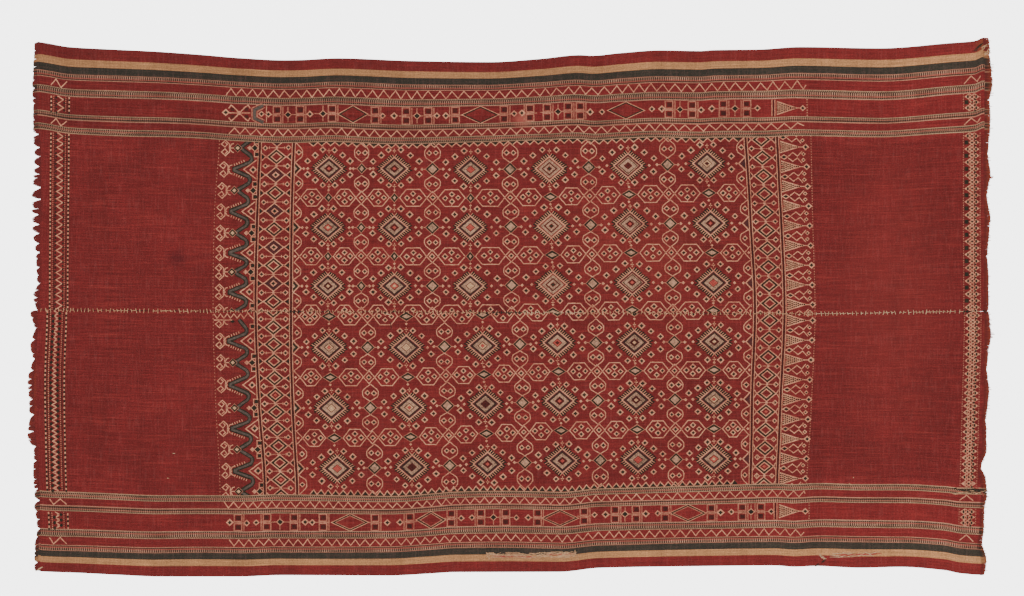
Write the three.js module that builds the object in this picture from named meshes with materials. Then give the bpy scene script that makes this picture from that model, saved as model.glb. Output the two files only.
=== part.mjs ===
import * as THREE from "three";

// A two-panel handwoven pua cloth laid out flat, in millimetres with +Z up.
// The warp runs along X. The sewn join of the two panels lies near Y = 0.
// The origin is under the middle of the cloth, on the surface it lies on.

const SHEET_THICKNESS = 1.6;
const JOIN_GAP = 0.4;
const FRINGE_GAP = 0.3;

// Facets of a panel: long ones over the plain stretch, short ones near the two woven ends.
const PANEL_FACETS = { endLength: 48, endSteps: 4, middleSteps: 48 };

// Rows of facets across a panel, as shares of the way from the join to the selvedge.
// They close up where the cloth is gathered and along the cockled selvedge.
const ACROSS_SHARES = [0, 0.06, 0.2, 0.34, 0.48, 0.6, 0.66, 0.685, 0.71, 0.8, 0.89, 0.95, 1];

// Locks of frayed warp: flat tapered bundles on a narrow backing strip.
const LOCKS = {
  count: 42,
  backing: 3,
  backingUnevenness: 0.9,
  rootWidth: 8,
  tipWidth: 1.8,
  height: 1.1,
  shortestShare: 0.5,
  shortestTip: 2.4,
  lean: 2.4,
};

// Line of the join, read along the warp.
const JOIN_LINE = [
  { along: -1000, across: -6.3 },
  { along: -700, across: -8.4 },
  { along: -300, across: -10.5 },
  { along: 300, across: -12.6 },
  { along: 610, across: -14.3 },
  { along: 1000, across: -9.2 },
];

// Upper selvedge, a row for each swell and hollow of its outline.
const UPPER_SELVEDGE = [
  { along: -1000, across: 557 },
  { along: -924, across: 546 },
  { along: -840, across: 541.2 },
  { along: -745, across: 536.6 },
  { along: -651, across: 530 },
  { along: -567, across: 522.9 },
  { along: -472, across: 518.3 },
  { along: -441, across: 518.7 },
  { along: -363, across: 522.3 },
  { along: -210, across: 517 },
  { along: -42, across: 514.5 },
  { along: 63, across: 521.2 },
  { along: 147, across: 529.2 },
  { along: 172, across: 527.9 },
  { along: 231, across: 533.4 },
  { along: 315, across: 538.9 },
  { along: 399, across: 537.6 },
  { along: 428, across: 539.5 },
  { along: 525, across: 541 },
  { along: 609, across: 546 },
  { along: 777, across: 543.5 },
  { along: 924, across: 554.4 },
  { along: 976, across: 558.6 },
  { along: 995, across: 566 },
];

// Lower selvedge, read the same way.
const LOWER_SELVEDGE = [
  { along: -1000, across: -548 },
  { along: -985, across: -555 },
  { along: -903, across: -558.6 },
  { along: -819, across: -562.8 },
  { along: -735, across: -566 },
  { along: -567, across: -566 },
  { along: -483, across: -563.2 },
  { along: -256, across: -564 },
  { along: -168, across: -559.9 },
  { along: -115, across: -556.9 },
  { along: 105, across: -556.3 },
  { along: 189, across: -547.9 },
  { along: 399, across: -544.3 },
  { along: 556, across: -542.9 },
  { along: 598, across: -545.4 },
  { along: 640, across: -543.9 },
  { along: 735, across: -547.7 },
  { along: 819, across: -546 },
  { along: 913, across: -552.9 },
  { along: 945, across: -559.2 },
  { along: 990, across: -562.5 },
];

// Woven ends: where the firm cloth stops, and how far the frayed warp reaches beyond it.
const LEFT_END_UPPER = [
  { across: -6, along: -987, reach: 8 },
  { across: 25, along: -990, reach: 11.5 },
  { across: 48, along: -987, reach: 6.5 },
  { across: 82, along: -986, reach: 9.5 },
  { across: 120, along: -986, reach: 11 },
  { across: 151, along: -988, reach: 13 },
  { across: 190, along: -985, reach: 20 },
  { across: 225, along: -984, reach: 20 },
  { across: 288, along: -985, reach: 15 },
  { across: 351, along: -987, reach: 14 },
  { across: 393, along: -992, reach: 10 },
  { across: 477, along: -993, reach: 10 },
  { across: 554, along: -990, reach: 9.5 },
];

const LEFT_END_LOWER = [
  { across: -548, along: -991, reach: 8 },
  { across: -500, along: -990, reach: 9 },
  { across: -464, along: -986, reach: 7 },
  { across: -414, along: -987, reach: 12 },
  { across: -384, along: -988, reach: 12 },
  { across: -342, along: -992, reach: 10.5 },
  { across: -300, along: -992, reach: 8 },
  { across: -275, along: -996, reach: 17 },
  { across: -220, along: -1000, reach: 9.5 },
  { across: -153, along: -1000, reach: 13.5 },
  { across: -107, along: -997, reach: 6 },
  { across: -80, along: -996, reach: 13 },
  { across: -42, along: -994, reach: 6 },
  { across: -8, along: -994, reach: 14 },
];

const RIGHT_END_UPPER = [
  { across: -9, along: 996, reach: 10.5 },
  { across: 57, along: 996, reach: 10 },
  { across: 109, along: 995, reach: 8.5 },
  { across: 183, along: 997, reach: 12.5 },
  { across: 235, along: 994, reach: 8.5 },
  { across: 277, along: 997, reach: 12.5 },
  { across: 321, along: 996, reach: 9 },
  { across: 382, along: 997, reach: 12.5 },
  { across: 435, along: 997, reach: 12 },
  { across: 473, along: 997, reach: 16.5 },
  { across: 519, along: 997, reach: 13 },
  { across: 560, along: 995, reach: 12 },
];

const RIGHT_END_LOWER = [
  { across: -563, along: 989, reach: 9 },
  { across: -533, along: 991, reach: 10 },
  { across: -496, along: 984, reach: 8.5 },
  { across: -468, along: 987, reach: 8.5 },
  { across: -426, along: 988, reach: 9 },
  { across: -395, along: 991, reach: 11 },
  { across: -360, along: 988, reach: 12 },
  { across: -335, along: 984, reach: 6.5 },
  { across: -300, along: 992, reach: 9.5 },
  { across: -237, along: 993, reach: 8 },
  { across: -174, along: 996, reach: 10.5 },
  { across: -130, along: 994, reach: 8.5 },
  { across: -48, along: 998, reach: 13 },
  { across: -9, along: 996, reach: 11 },
];

// Places where the cloth stands off the table: a centre, half lengths and a lift each.
// Everywhere else the underside is flat at Z = 0.
const RISES = [
  { place: "upper selvedge swell", along: -363, across: 526, halfAlong: 150, halfAcross: 52, lift: 2.2 },
  { place: "upper selvedge swell", along: 360, across: 542, halfAlong: 190, halfAcross: 56, lift: 2.6 },
  { place: "upper selvedge swell", along: 620, across: 549, halfAlong: 110, halfAcross: 48, lift: 2.2 },
  { place: "upper right corner", along: 988, across: 562, halfAlong: 60, halfAcross: 48, lift: 3 },
  { place: "lower selvedge swell", along: -660, across: -568, halfAlong: 190, halfAcross: 48, lift: 2.4 },
  { place: "lower selvedge swell", along: -255, across: -566, halfAlong: 110, halfAcross: 40, lift: 1.6 },
  { place: "lower selvedge swell", along: 598, across: -548, halfAlong: 80, halfAcross: 36, lift: 1.8 },
  { place: "lower right corner", along: 950, across: -562, halfAlong: 90, halfAcross: 44, lift: 2 },
  { place: "turned corner", along: -985, across: -552, halfAlong: 44, halfAcross: 34, lift: 2.6 },
  { place: "gathered stripe", along: 955, across: -386, halfAlong: 62, halfAcross: 20, lift: 3.2 },
  { place: "curled right end", along: 972, across: 420, halfAlong: 28, halfAcross: 120, lift: 2.8 },
  { place: "curled right end", along: 972, across: 225, halfAlong: 26, halfAcross: 110, lift: 2.4 },
  { place: "curled right end", along: 972, across: -110, halfAlong: 26, halfAcross: 90, lift: 2.2 },
  { place: "curled right end", along: 970, across: -270, halfAlong: 26, halfAcross: 70, lift: 2.4 },
  { place: "curled left end", along: -966, across: 290, halfAlong: 28, halfAcross: 90, lift: 1.8 },
  { place: "curled left end", along: -974, across: -180, halfAlong: 28, halfAcross: 110, lift: 1.8 },
];

const CLOTH_FINISH = { color: "#86282a", roughness: 0.92, metalness: 0 };
const FRAY_FINISH = { color: "#7d3522", roughness: 0.95, metalness: 0 };

// A smooth curve through the rows of a table that never swings past its rows.
function curveThrough(rows, key, value) {
  const last = rows.length - 1;
  const secant = (i) => (rows[i + 1][value] - rows[i][value]) / (rows[i + 1][key] - rows[i][key]);
  const slope = (i) => {
    if (i === 0 || i === last) return 0;
    const before = secant(i - 1);
    const after = secant(i);
    return before * after > 0 ? (2 * before * after) / (before + after) : 0;
  };
  const slopes = rows.map((_, i) => slope(i));
  return (at) => {
    if (at <= rows[0][key]) return rows[0][value];
    if (at >= rows[last][key]) return rows[last][value];
    const i = rows.findIndex((row) => row[key] > at) - 1;
    const step = rows[i + 1][key] - rows[i][key];
    const t = (at - rows[i][key]) / step;
    const fade = t * t * (3 - 2 * t);
    const ease = t * (1 - t) * (1 - t) * slopes[i] - t * t * (1 - t) * slopes[i + 1];
    return rows[i][value] + fade * (rows[i + 1][value] - rows[i][value]) + ease * step;
  };
}

// Height of the underside above the table.
function liftAt(along, across) {
  return RISES.reduce((sum, rise) => {
    const offset = Math.hypot((along - rise.along) / rise.halfAlong, (across - rise.across) / rise.halfAcross);
    return offset < 1 ? sum + rise.lift * (1 - offset * offset) ** 2 : sum;
  }, 0);
}

// Shares of the way along a panel, closer together at its two ends.
function alongShares(length) {
  const { endLength, endSteps, middleSteps } = PANEL_FACETS;
  const end = endLength / length;
  const shares = [];
  for (let i = 0; i < endSteps; i += 1) shares.push((end * i) / endSteps);
  for (let i = 0; i <= middleSteps; i += 1) shares.push(end + ((1 - 2 * end) * i) / middleSteps);
  for (let i = 1; i <= endSteps; i += 1) shares.push(1 - end + (end * i) / endSteps);
  return shares;
}

const joinAt = curveThrough(JOIN_LINE, "along", "across");

// One woven panel: its join edge and selvedge run along X, its two woven ends across.
function describePanel({ side, selvedge, leftEnd, rightEnd }) {
  const selvedgeAt = curveThrough(selvedge, "along", "across");
  const leftAt = curveThrough(leftEnd, "across", "along");
  const rightAt = curveThrough(rightEnd, "across", "along");
  const acrossAt = (along, share) => {
    const joinEdge = joinAt(along) + (side * JOIN_GAP) / 2;
    return THREE.MathUtils.lerp(joinEdge, selvedgeAt(along), share);
  };
  const pointAt = (alongShare, acrossShare) => {
    const nominal = THREE.MathUtils.lerp(leftEnd[0].along, rightEnd[0].along, alongShare);
    const level = acrossAt(nominal, acrossShare);
    const along = THREE.MathUtils.lerp(leftAt(level), rightAt(level), alongShare);
    return new THREE.Vector2(along, acrossAt(along, acrossShare));
  };
  const length = rightEnd[0].along - leftEnd[0].along;
  return { side, pointAt, length };
}

function panelGeometry(panel) {
  const columns = alongShares(panel.length);
  const rows = ACROSS_SHARES;
  const geometry = new THREE.BoxGeometry(1, 1, 1, columns.length - 1, rows.length - 1, 1);
  const position = geometry.attributes.position;
  for (let i = 0; i < position.count; i += 1) {
    const column = Math.round((position.getX(i) + 0.5) * (columns.length - 1));
    const rowShare = panel.side > 0 ? position.getY(i) + 0.5 : 0.5 - position.getY(i);
    const row = Math.round(rowShare * (rows.length - 1));
    const point = panel.pointAt(columns[column], rows[row]);
    const top = position.getZ(i) > 0 ? SHEET_THICKNESS : 0;
    position.setXYZ(i, point.x, point.y, liftAt(point.x, point.y) + top);
  }
  geometry.computeVertexNormals();
  return geometry;
}

// A repeatable scatter between 0 and 1.
function scatter(index, seed) {
  return THREE.MathUtils.euclideanModulo(Math.sin(index * 12.9898 + seed * 78.233) * 43758.5453, 1);
}

// The frayed end of a panel: a backing strip along the woven end, with locks that lie level
// on the table and stand apart beyond their roots. Outward is -1 at the left, +1 at the right.
function fringeGeometry(panel, endTable, outward, seed) {
  const endShare = outward < 0 ? 0 : 1;
  const endLine = ACROSS_SHARES.map((share) => panel.pointAt(endShare, share));
  endLine.sort((a, b) => a.y - b.y);
  const endRows = endLine.map((point) => ({ across: point.y, along: point.x }));
  const lineAt = (across) => {
    const after = endRows.findIndex((row) => row.across >= across);
    const high = after < 0 ? endRows.length - 1 : Math.max(after, 1);
    const [a, b] = [endRows[high - 1], endRows[high]];
    return THREE.MathUtils.mapLinear(across, a.across, b.across, a.along, b.along);
  };
  const reachAt = curveThrough(endTable, "across", "reach");
  const from = endLine[0].y;
  const pitch = (endLine[endLine.length - 1].y - from) / LOCKS.count;
  const rootAt = (across) => {
    const width = LOCKS.backing + LOCKS.backingUnevenness * scatter(across, seed + 2);
    return lineAt(across) + outward * (FRINGE_GAP + width);
  };

  const outline = new THREE.Shape();
  endLine.forEach((point, i) => {
    const along = point.x + outward * FRINGE_GAP;
    if (i === 0) outline.moveTo(along, point.y);
    else outline.lineTo(along, point.y);
  });
  outline.lineTo(rootAt(endLine[endLine.length - 1].y), endLine[endLine.length - 1].y);
  for (let i = LOCKS.count - 1; i >= 0; i -= 1) {
    const middle = from + (i + 0.5) * pitch;
    const length = reachAt(middle) * (LOCKS.shortestShare + (1 - LOCKS.shortestShare) * scatter(i, seed));
    const tip = lineAt(middle) + outward * Math.max(length, LOCKS.backing + LOCKS.shortestTip);
    const tipMiddle = middle + (scatter(i, seed + 1) - 0.5) * LOCKS.lean;
    const rootHigh = middle + LOCKS.rootWidth / 2;
    const rootLow = middle - LOCKS.rootWidth / 2;
    outline.lineTo(rootAt(rootHigh), rootHigh);
    outline.lineTo(tip, tipMiddle + LOCKS.tipWidth / 2);
    outline.lineTo(tip, tipMiddle - LOCKS.tipWidth / 2);
    outline.lineTo(rootAt(rootLow), rootLow);
  }
  outline.lineTo(rootAt(from), from);
  outline.closePath();
  return new THREE.ExtrudeGeometry(outline, { depth: LOCKS.height, bevelEnabled: false });
}

function namedMesh(name, geometry, finish) {
  const mesh = new THREE.Mesh(geometry, new THREE.MeshStandardMaterial(finish));
  mesh.name = name;
  return mesh;
}

const PANELS = {
  upper: describePanel({
    side: 1,
    selvedge: UPPER_SELVEDGE,
    leftEnd: LEFT_END_UPPER,
    rightEnd: RIGHT_END_UPPER,
  }),
  lower: describePanel({
    side: -1,
    selvedge: LOWER_SELVEDGE,
    leftEnd: LEFT_END_LOWER,
    rightEnd: RIGHT_END_LOWER,
  }),
};

const FRINGES = [
  { name: "fringe_left_upper", panel: PANELS.upper, end: LEFT_END_UPPER, outward: -1, seed: 3 },
  { name: "fringe_left_lower", panel: PANELS.lower, end: LEFT_END_LOWER, outward: -1, seed: 5 },
  { name: "fringe_right_upper", panel: PANELS.upper, end: RIGHT_END_UPPER, outward: 1, seed: 7 },
  { name: "fringe_right_lower", panel: PANELS.lower, end: RIGHT_END_LOWER, outward: 1, seed: 9 },
];

const cloth = new THREE.Group();
cloth.name = "pua_cloth";
cloth.add(namedMesh("panel_upper", panelGeometry(PANELS.upper), CLOTH_FINISH));
cloth.add(namedMesh("panel_lower", panelGeometry(PANELS.lower), CLOTH_FINISH));
for (const { name, panel, end, outward, seed } of FRINGES) {
  cloth.add(namedMesh(name, fringeGeometry(panel, end, outward, seed), FRAY_FINISH));
}

// The group is moved so that the middle of its box is the origin's X and Y.
const boxMiddle = new THREE.Box3().setFromObject(cloth).getCenter(new THREE.Vector3());
cloth.position.set(-boxMiddle.x, -boxMiddle.y, 0);

export default cloth;
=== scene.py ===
"""Pua cloth laid out flat: its looks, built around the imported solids.

Lengths are millimetres unless a name says otherwise, and meshes are written in metres. The pattern is
laid out on a chart whose squares are 2.1 mm, the size of one pixel of the photo, counted right and down.
"""

import logging
import math
import random
from dataclasses import dataclass
from enum import Enum, auto
from typing import Callable, NamedTuple, Sequence

import bpy
import numpy as np
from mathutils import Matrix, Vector


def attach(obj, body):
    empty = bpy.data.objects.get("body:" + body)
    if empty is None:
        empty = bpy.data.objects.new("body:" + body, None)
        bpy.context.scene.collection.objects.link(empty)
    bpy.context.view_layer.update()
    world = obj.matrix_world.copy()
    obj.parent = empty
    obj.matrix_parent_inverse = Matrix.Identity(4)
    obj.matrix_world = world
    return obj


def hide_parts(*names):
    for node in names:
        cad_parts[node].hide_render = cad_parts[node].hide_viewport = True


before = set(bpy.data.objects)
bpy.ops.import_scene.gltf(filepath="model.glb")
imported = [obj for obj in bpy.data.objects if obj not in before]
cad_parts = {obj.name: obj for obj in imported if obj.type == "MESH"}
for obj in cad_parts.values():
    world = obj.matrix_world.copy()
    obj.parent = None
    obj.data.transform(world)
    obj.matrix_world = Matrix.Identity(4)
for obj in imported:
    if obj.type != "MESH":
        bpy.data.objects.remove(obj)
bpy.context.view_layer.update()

LOG = logging.getLogger("pua_cloth")

CHART_SQUARE = 2.1
CHART_MIDDLE = (510.0, 307.0)
FRAME_SHIFT = 0.459
MM = 0.001

JOIN_GAP = 0.4
SHEET_TOP = 1.25
YARN_ROOT = 0.45
PURE_WHITE = (1.0, 1.0, 1.0, 1.0)

Point = tuple[float, float]
Spot = tuple[float, float, float]
Colour = tuple[float, float, float, float]
Places = float | np.ndarray
Socket = bpy.types.NodeSocket
Material = bpy.types.Material
Piece = bpy.types.Object


def on_cloth(spot: Point) -> Point:
    """Turns chart squares, right and down, into millimetres along and across."""
    return (spot[0] - CHART_MIDDLE[0]) * CHART_SQUARE, (CHART_MIDDLE[1] - spot[1]) * CHART_SQUARE


def between(first: Point, second: Point) -> Point:
    """The middle of two points."""
    return (first[0] + second[0]) / 2, (first[1] + second[1]) / 2


class EdgeRow(NamedTuple):
    """A point of a long edge: its place along the warp and across it."""

    along: float
    across: float


class EndRow(NamedTuple):
    """A point of a woven end: its place across, where the firm cloth stops, and the fray's reach."""

    across: float
    along: float
    reach: float


class Rise(NamedTuple):
    """A low swell where the cloth stands off the table."""

    along: float
    across: float
    half_along: float
    half_across: float
    lift: float


class BorderRow(NamedTuple):
    """Distances in from a selvedge, at one place along: the dark stripe's inner edge, the figured
    band's outer edge and the border's inner edge."""

    along: float
    stripe: float
    band: float
    whole: float


def rows(kind: type, *entries: Sequence[object]) -> tuple:
    """Makes a table: one row of the kind for each entry's values."""
    return tuple(kind(*entry) for entry in entries)


JOIN_LINE = rows(
    EdgeRow, (-1000, -6.3), (-700, -8.4), (-300, -10.5), (300, -12.6), (610, -14.3), (1000, -9.2),
)

UPPER_SELVEDGE = rows(
    EdgeRow, (-1000, 557), (-924, 546), (-840, 541.2), (-745, 536.6), (-651, 530), (-567, 522.9),
    (-472, 518.3), (-441, 518.7), (-363, 522.3), (-210, 517), (-42, 514.5), (63, 521.2), (147, 529.2),
    (172, 527.9), (231, 533.4), (315, 538.9), (399, 537.6), (428, 539.5), (525, 541), (609, 546),
    (777, 543.5), (924, 554.4), (976, 558.6), (995, 566),
)

LOWER_SELVEDGE = rows(
    EdgeRow, (-1000, -548), (-985, -555), (-903, -558.6), (-819, -562.8), (-735, -566), (-567, -566),
    (-483, -563.2), (-256, -564), (-168, -559.9), (-115, -556.9), (105, -556.3), (189, -547.9),
    (399, -544.3), (556, -542.9), (598, -545.4), (640, -543.9), (735, -547.7), (819, -546), (913, -552.9),
    (945, -559.2), (990, -562.5),
)

LEFT_END_UPPER = rows(
    EndRow, (-6, -987, 8), (25, -990, 11.5), (48, -987, 6.5), (82, -986, 9.5), (120, -986, 11),
    (151, -988, 13), (190, -985, 20), (225, -984, 20), (288, -985, 15), (351, -987, 14), (393, -992, 10),
    (477, -993, 10), (554, -990, 9.5),
)

LEFT_END_LOWER = rows(
    EndRow, (-548, -991, 8), (-500, -990, 9), (-464, -986, 7), (-414, -987, 12), (-384, -988, 12),
    (-342, -992, 10.5), (-300, -992, 8), (-275, -996, 17), (-220, -1000, 9.5), (-153, -1000, 13.5),
    (-107, -997, 6), (-80, -996, 13), (-42, -994, 6), (-8, -994, 14),
)

RIGHT_END_UPPER = rows(
    EndRow, (-9, 996, 10.5), (57, 996, 10), (109, 995, 8.5), (183, 997, 12.5), (235, 994, 8.5),
    (277, 997, 12.5), (321, 996, 9), (382, 997, 12.5), (435, 997, 12), (473, 997, 16.5), (519, 997, 13),
    (560, 995, 12),
)

RIGHT_END_LOWER = rows(
    EndRow, (-563, 989, 9), (-533, 991, 10), (-496, 984, 8.5), (-468, 987, 8.5), (-426, 988, 9),
    (-395, 991, 11), (-360, 988, 12), (-335, 984, 6.5), (-300, 992, 9.5), (-237, 993, 8), (-174, 996, 10.5),
    (-130, 994, 8.5), (-48, 998, 13), (-9, 996, 11),
)

RISES = rows(
    Rise, (-363, 526, 150, 52, 2.2), (360, 542, 190, 56, 2.6), (620, 549, 110, 48, 2.2),
    (988, 562, 60, 48, 3), (-660, -568, 190, 48, 2.4), (-255, -566, 110, 40, 1.6), (598, -548, 80, 36, 1.8),
    (950, -562, 90, 44, 2), (-985, -552, 44, 34, 2.6), (955, -386, 62, 20, 3.2), (972, 420, 28, 120, 2.8),
    (972, 225, 26, 110, 2.4), (972, -110, 26, 90, 2.2), (970, -270, 26, 70, 2.4), (-966, 290, 28, 90, 1.8),
    (-974, -180, 28, 110, 1.8),
)

UPPER_BORDER = rows(
    BorderRow, (-987, 56.7, 105, 181.7), (-819, 54, 102.3, 181), (-651, 51.2, 98, 175.4),
    (-441, 48.3, 95.6, 173.2), (-294, 49, 98.2, 176.4), (-231, 49, 97.6, 174.8), (-21, 47.3, 92.2, 167),
    (147, 51.2, 98.9, 175.6), (315, 53.6, 104.6, 181.7), (483, 52.7, 104.2, 183.5), (651, 54, 108.6, 186.3),
    (819, 54.8, 109.4, 186.5), (966, 55, 108.6, 189.4),
)

LOWER_BORDER = rows(
    BorderRow, (-987, 44, 91, 169), (-819, 46.6, 93.5, 170), (-651, 49.4, 95.6, 170),
    (-441, 47, 93.2, 168.8), (-231, 48.7, 93.9, 166.3), (-21, 50.6, 97.4, 170), (189, 46.4, 94.1, 166),
    (399, 48.3, 93.7, 168.6), (609, 49.6, 96.8, 172.8), (735, 53, 100.8, 175), (819, 50.4, 98, 173.7),
    (903, 51.5, 99.8, 175.4), (987, 52.5, 100.8, 182.7),
)

# The same three distances as the warper set them, before the cloth drew in and spread.
WARPED = BorderRow(0, 50, 97, 173)
WARPED_JOIN = 540.0


class Curve:
    """A smooth curve through the rows of a table that never swings past its rows."""

    def __init__(self, rows: Sequence[Point]) -> None:
        """Works out the slope at each row.

        Args:
            rows: pairs of place and value, with rising places.
        """
        self.place = np.array([row[0] for row in rows], float)
        self.value = np.array([row[1] for row in rows], float)
        secant = np.diff(self.value) / np.diff(self.place)
        before = secant[:-1]
        after = secant[1:]
        same_way = before * after > 0
        total = np.where(same_way, before + after, 1.0)
        inner = np.where(same_way, 2 * before * after / total, 0.0)
        self.slope = np.concatenate([[0.0], inner, [0.0]])

    def __call__(self, at: Places) -> np.ndarray:
        """Reads the curve.

        Args:
            at: one place or an array of places.

        Returns:
            The value at each place, held level beyond the first and last rows.
        """
        held = np.clip(at, self.place[0], self.place[-1])
        i = np.clip(np.searchsorted(self.place, held, side="right") - 1, 0, len(self.place) - 2)
        step = self.place[i + 1] - self.place[i]
        t = (held - self.place[i]) / step
        fade = t * t * (3 - 2 * t)
        ease = t * (1 - t) ** 2 * self.slope[i] - t * t * (1 - t) * self.slope[i + 1]
        return self.value[i] + fade * (self.value[i + 1] - self.value[i]) + ease * step


join_at = Curve(JOIN_LINE)


def lift_at(along: Places, across: Places) -> np.ndarray:
    """Height of the cloth's underside above the table.

    Args:
        along: place along the warp.
        across: place across it.

    Returns:
        The height at each place.
    """
    total = np.zeros(np.broadcast(along, across).shape)
    for rise in RISES:
        offset = np.hypot((along - rise.along) / rise.half_along, (across - rise.across) / rise.half_across)
        total = total + rise.lift * np.clip(1 - offset * offset, 0, None) ** 2
    return total


def ripple_at(along: Places, across: Places) -> np.ndarray:
    """Slight unevenness of the upper face: soft waves across the warp and along it.

    Args:
        along: place along the warp.
        across: place across it.

    Returns:
        The height of the waves at each place, from about -0.3 to 0.3.
    """
    bent = along + 14 * np.sin(across / 90.0)
    slow = 0.13 * np.sin(bent / 31.0) * np.sin(across / 140.0 + 1.3)
    quick = 0.08 * np.sin(bent / 13.7 + 0.8) * np.cos(across / 47.0)
    cross = 0.07 * np.sin(across / 21.0 + along / 260.0)
    return slow + quick + cross


def face_at(along: Places, across: Places) -> np.ndarray:
    """Height of the cloth's upper face.

    Args:
        along: place along the warp.
        across: place across it.

    Returns:
        The height at each place.
    """
    return lift_at(along, across) + SHEET_TOP + ripple_at(along, across)


@dataclass
class PanelForm:
    """The flat form of one woven panel, from its join edge to its selvedge."""

    name: str
    side: int
    selvedge: Sequence[EdgeRow]
    left_end: Sequence[EndRow]
    right_end: Sequence[EndRow]
    border: Sequence[BorderRow]

    def __post_init__(self) -> None:
        """Sets up the curves through the tables: ends, their reaches and the border's three insets."""
        self.upper = self.side > 0
        self.selvedge_at = Curve(self.selvedge)
        ends = (self.left_end, self.right_end)
        self.left_at, self.right_at = (Curve([(row.across, row.along) for row in end]) for end in ends)
        self.reaches = [Curve([(row.across, row.reach) for row in end]) for end in ends]
        self.insets = [Curve([(row.along, row[k]) for row in self.border]) for k in (1, 2, 3)]

    def join_edge(self, along: Places) -> np.ndarray:
        """The panel's edge at the join."""
        return join_at(along) + self.side * JOIN_GAP / 2

    def across_at(self, along: Places, warped: Places) -> np.ndarray:
        """Where a warp end lies across the cloth.

        Args:
            along: place along the warp.
            warped: the end's distance from the selvedge as it was warped.

        Returns:
            The place across the cloth.
        """
        selvedge = self.selvedge_at(along)
        width = self.side * (selvedge - self.join_edge(along))
        inset = [0 * width, *(inset_at(along) for inset_at in self.insets), width]
        marks = [0.0, WARPED.stripe, WARPED.band, WARPED.whole, WARPED_JOIN]
        held = np.clip(warped, 0, WARPED_JOIN)
        found = np.zeros(np.broadcast(along, warped).shape)
        for k in range(len(marks) - 1):
            share = (held - marks[k]) / (marks[k + 1] - marks[k])
            within = (held >= marks[k]) & (held <= marks[k + 1])
            found = np.where(within, inset[k] + share * (inset[k + 1] - inset[k]), found)
        return selvedge - self.side * found

    def point_at(self, share: np.ndarray, warped: np.ndarray) -> tuple[np.ndarray, np.ndarray]:
        """A point of the panel.

        Args:
            share: share of the way from the left woven end to the right one.
            warped: distance from the selvedge as it was warped.

        Returns:
            Its place along and across.
        """
        start = self.left_end[0].along
        nominal = start + share * (self.right_end[0].along - start)
        level = self.across_at(nominal, warped)
        along = (1 - share) * self.left_at(level) + share * self.right_at(level)
        return along, self.across_at(along, warped)

    def border_spot(self, right: float, warped: float) -> Point:
        """Turns a place in the border into chart squares.

        Args:
            right: place along, in chart squares.
            warped: distance from the selvedge as it was warped.

        Returns:
            The chart's right and down.
        """
        along = (right - CHART_MIDDLE[0]) * CHART_SQUARE
        across = float(self.across_at(along, warped))
        return right, CHART_MIDDLE[1] - across / CHART_SQUARE


UPPER = PanelForm("upper", 1, UPPER_SELVEDGE, LEFT_END_UPPER, RIGHT_END_UPPER, UPPER_BORDER)
LOWER = PanelForm("lower", -1, LOWER_SELVEDGE, LEFT_END_LOWER, RIGHT_END_LOWER, LOWER_BORDER)


def srgb(red: float, green: float, blue: float) -> Colour:
    """A colour as a dyer would match it by eye, turned into the shader's linear light.

    Args:
        red: red from 0 to 255.
        green: green from 0 to 255.
        blue: blue from 0 to 255.

    Returns:
        Linear red, green, blue and alpha.
    """
    linear = []
    for part in (red / 255, green / 255, blue / 255):
        linear.append(part / 12.92 if part <= 0.04045 else ((part + 0.055) / 1.055) ** 2.4)
    return linear[0], linear[1], linear[2], 1.0


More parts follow.
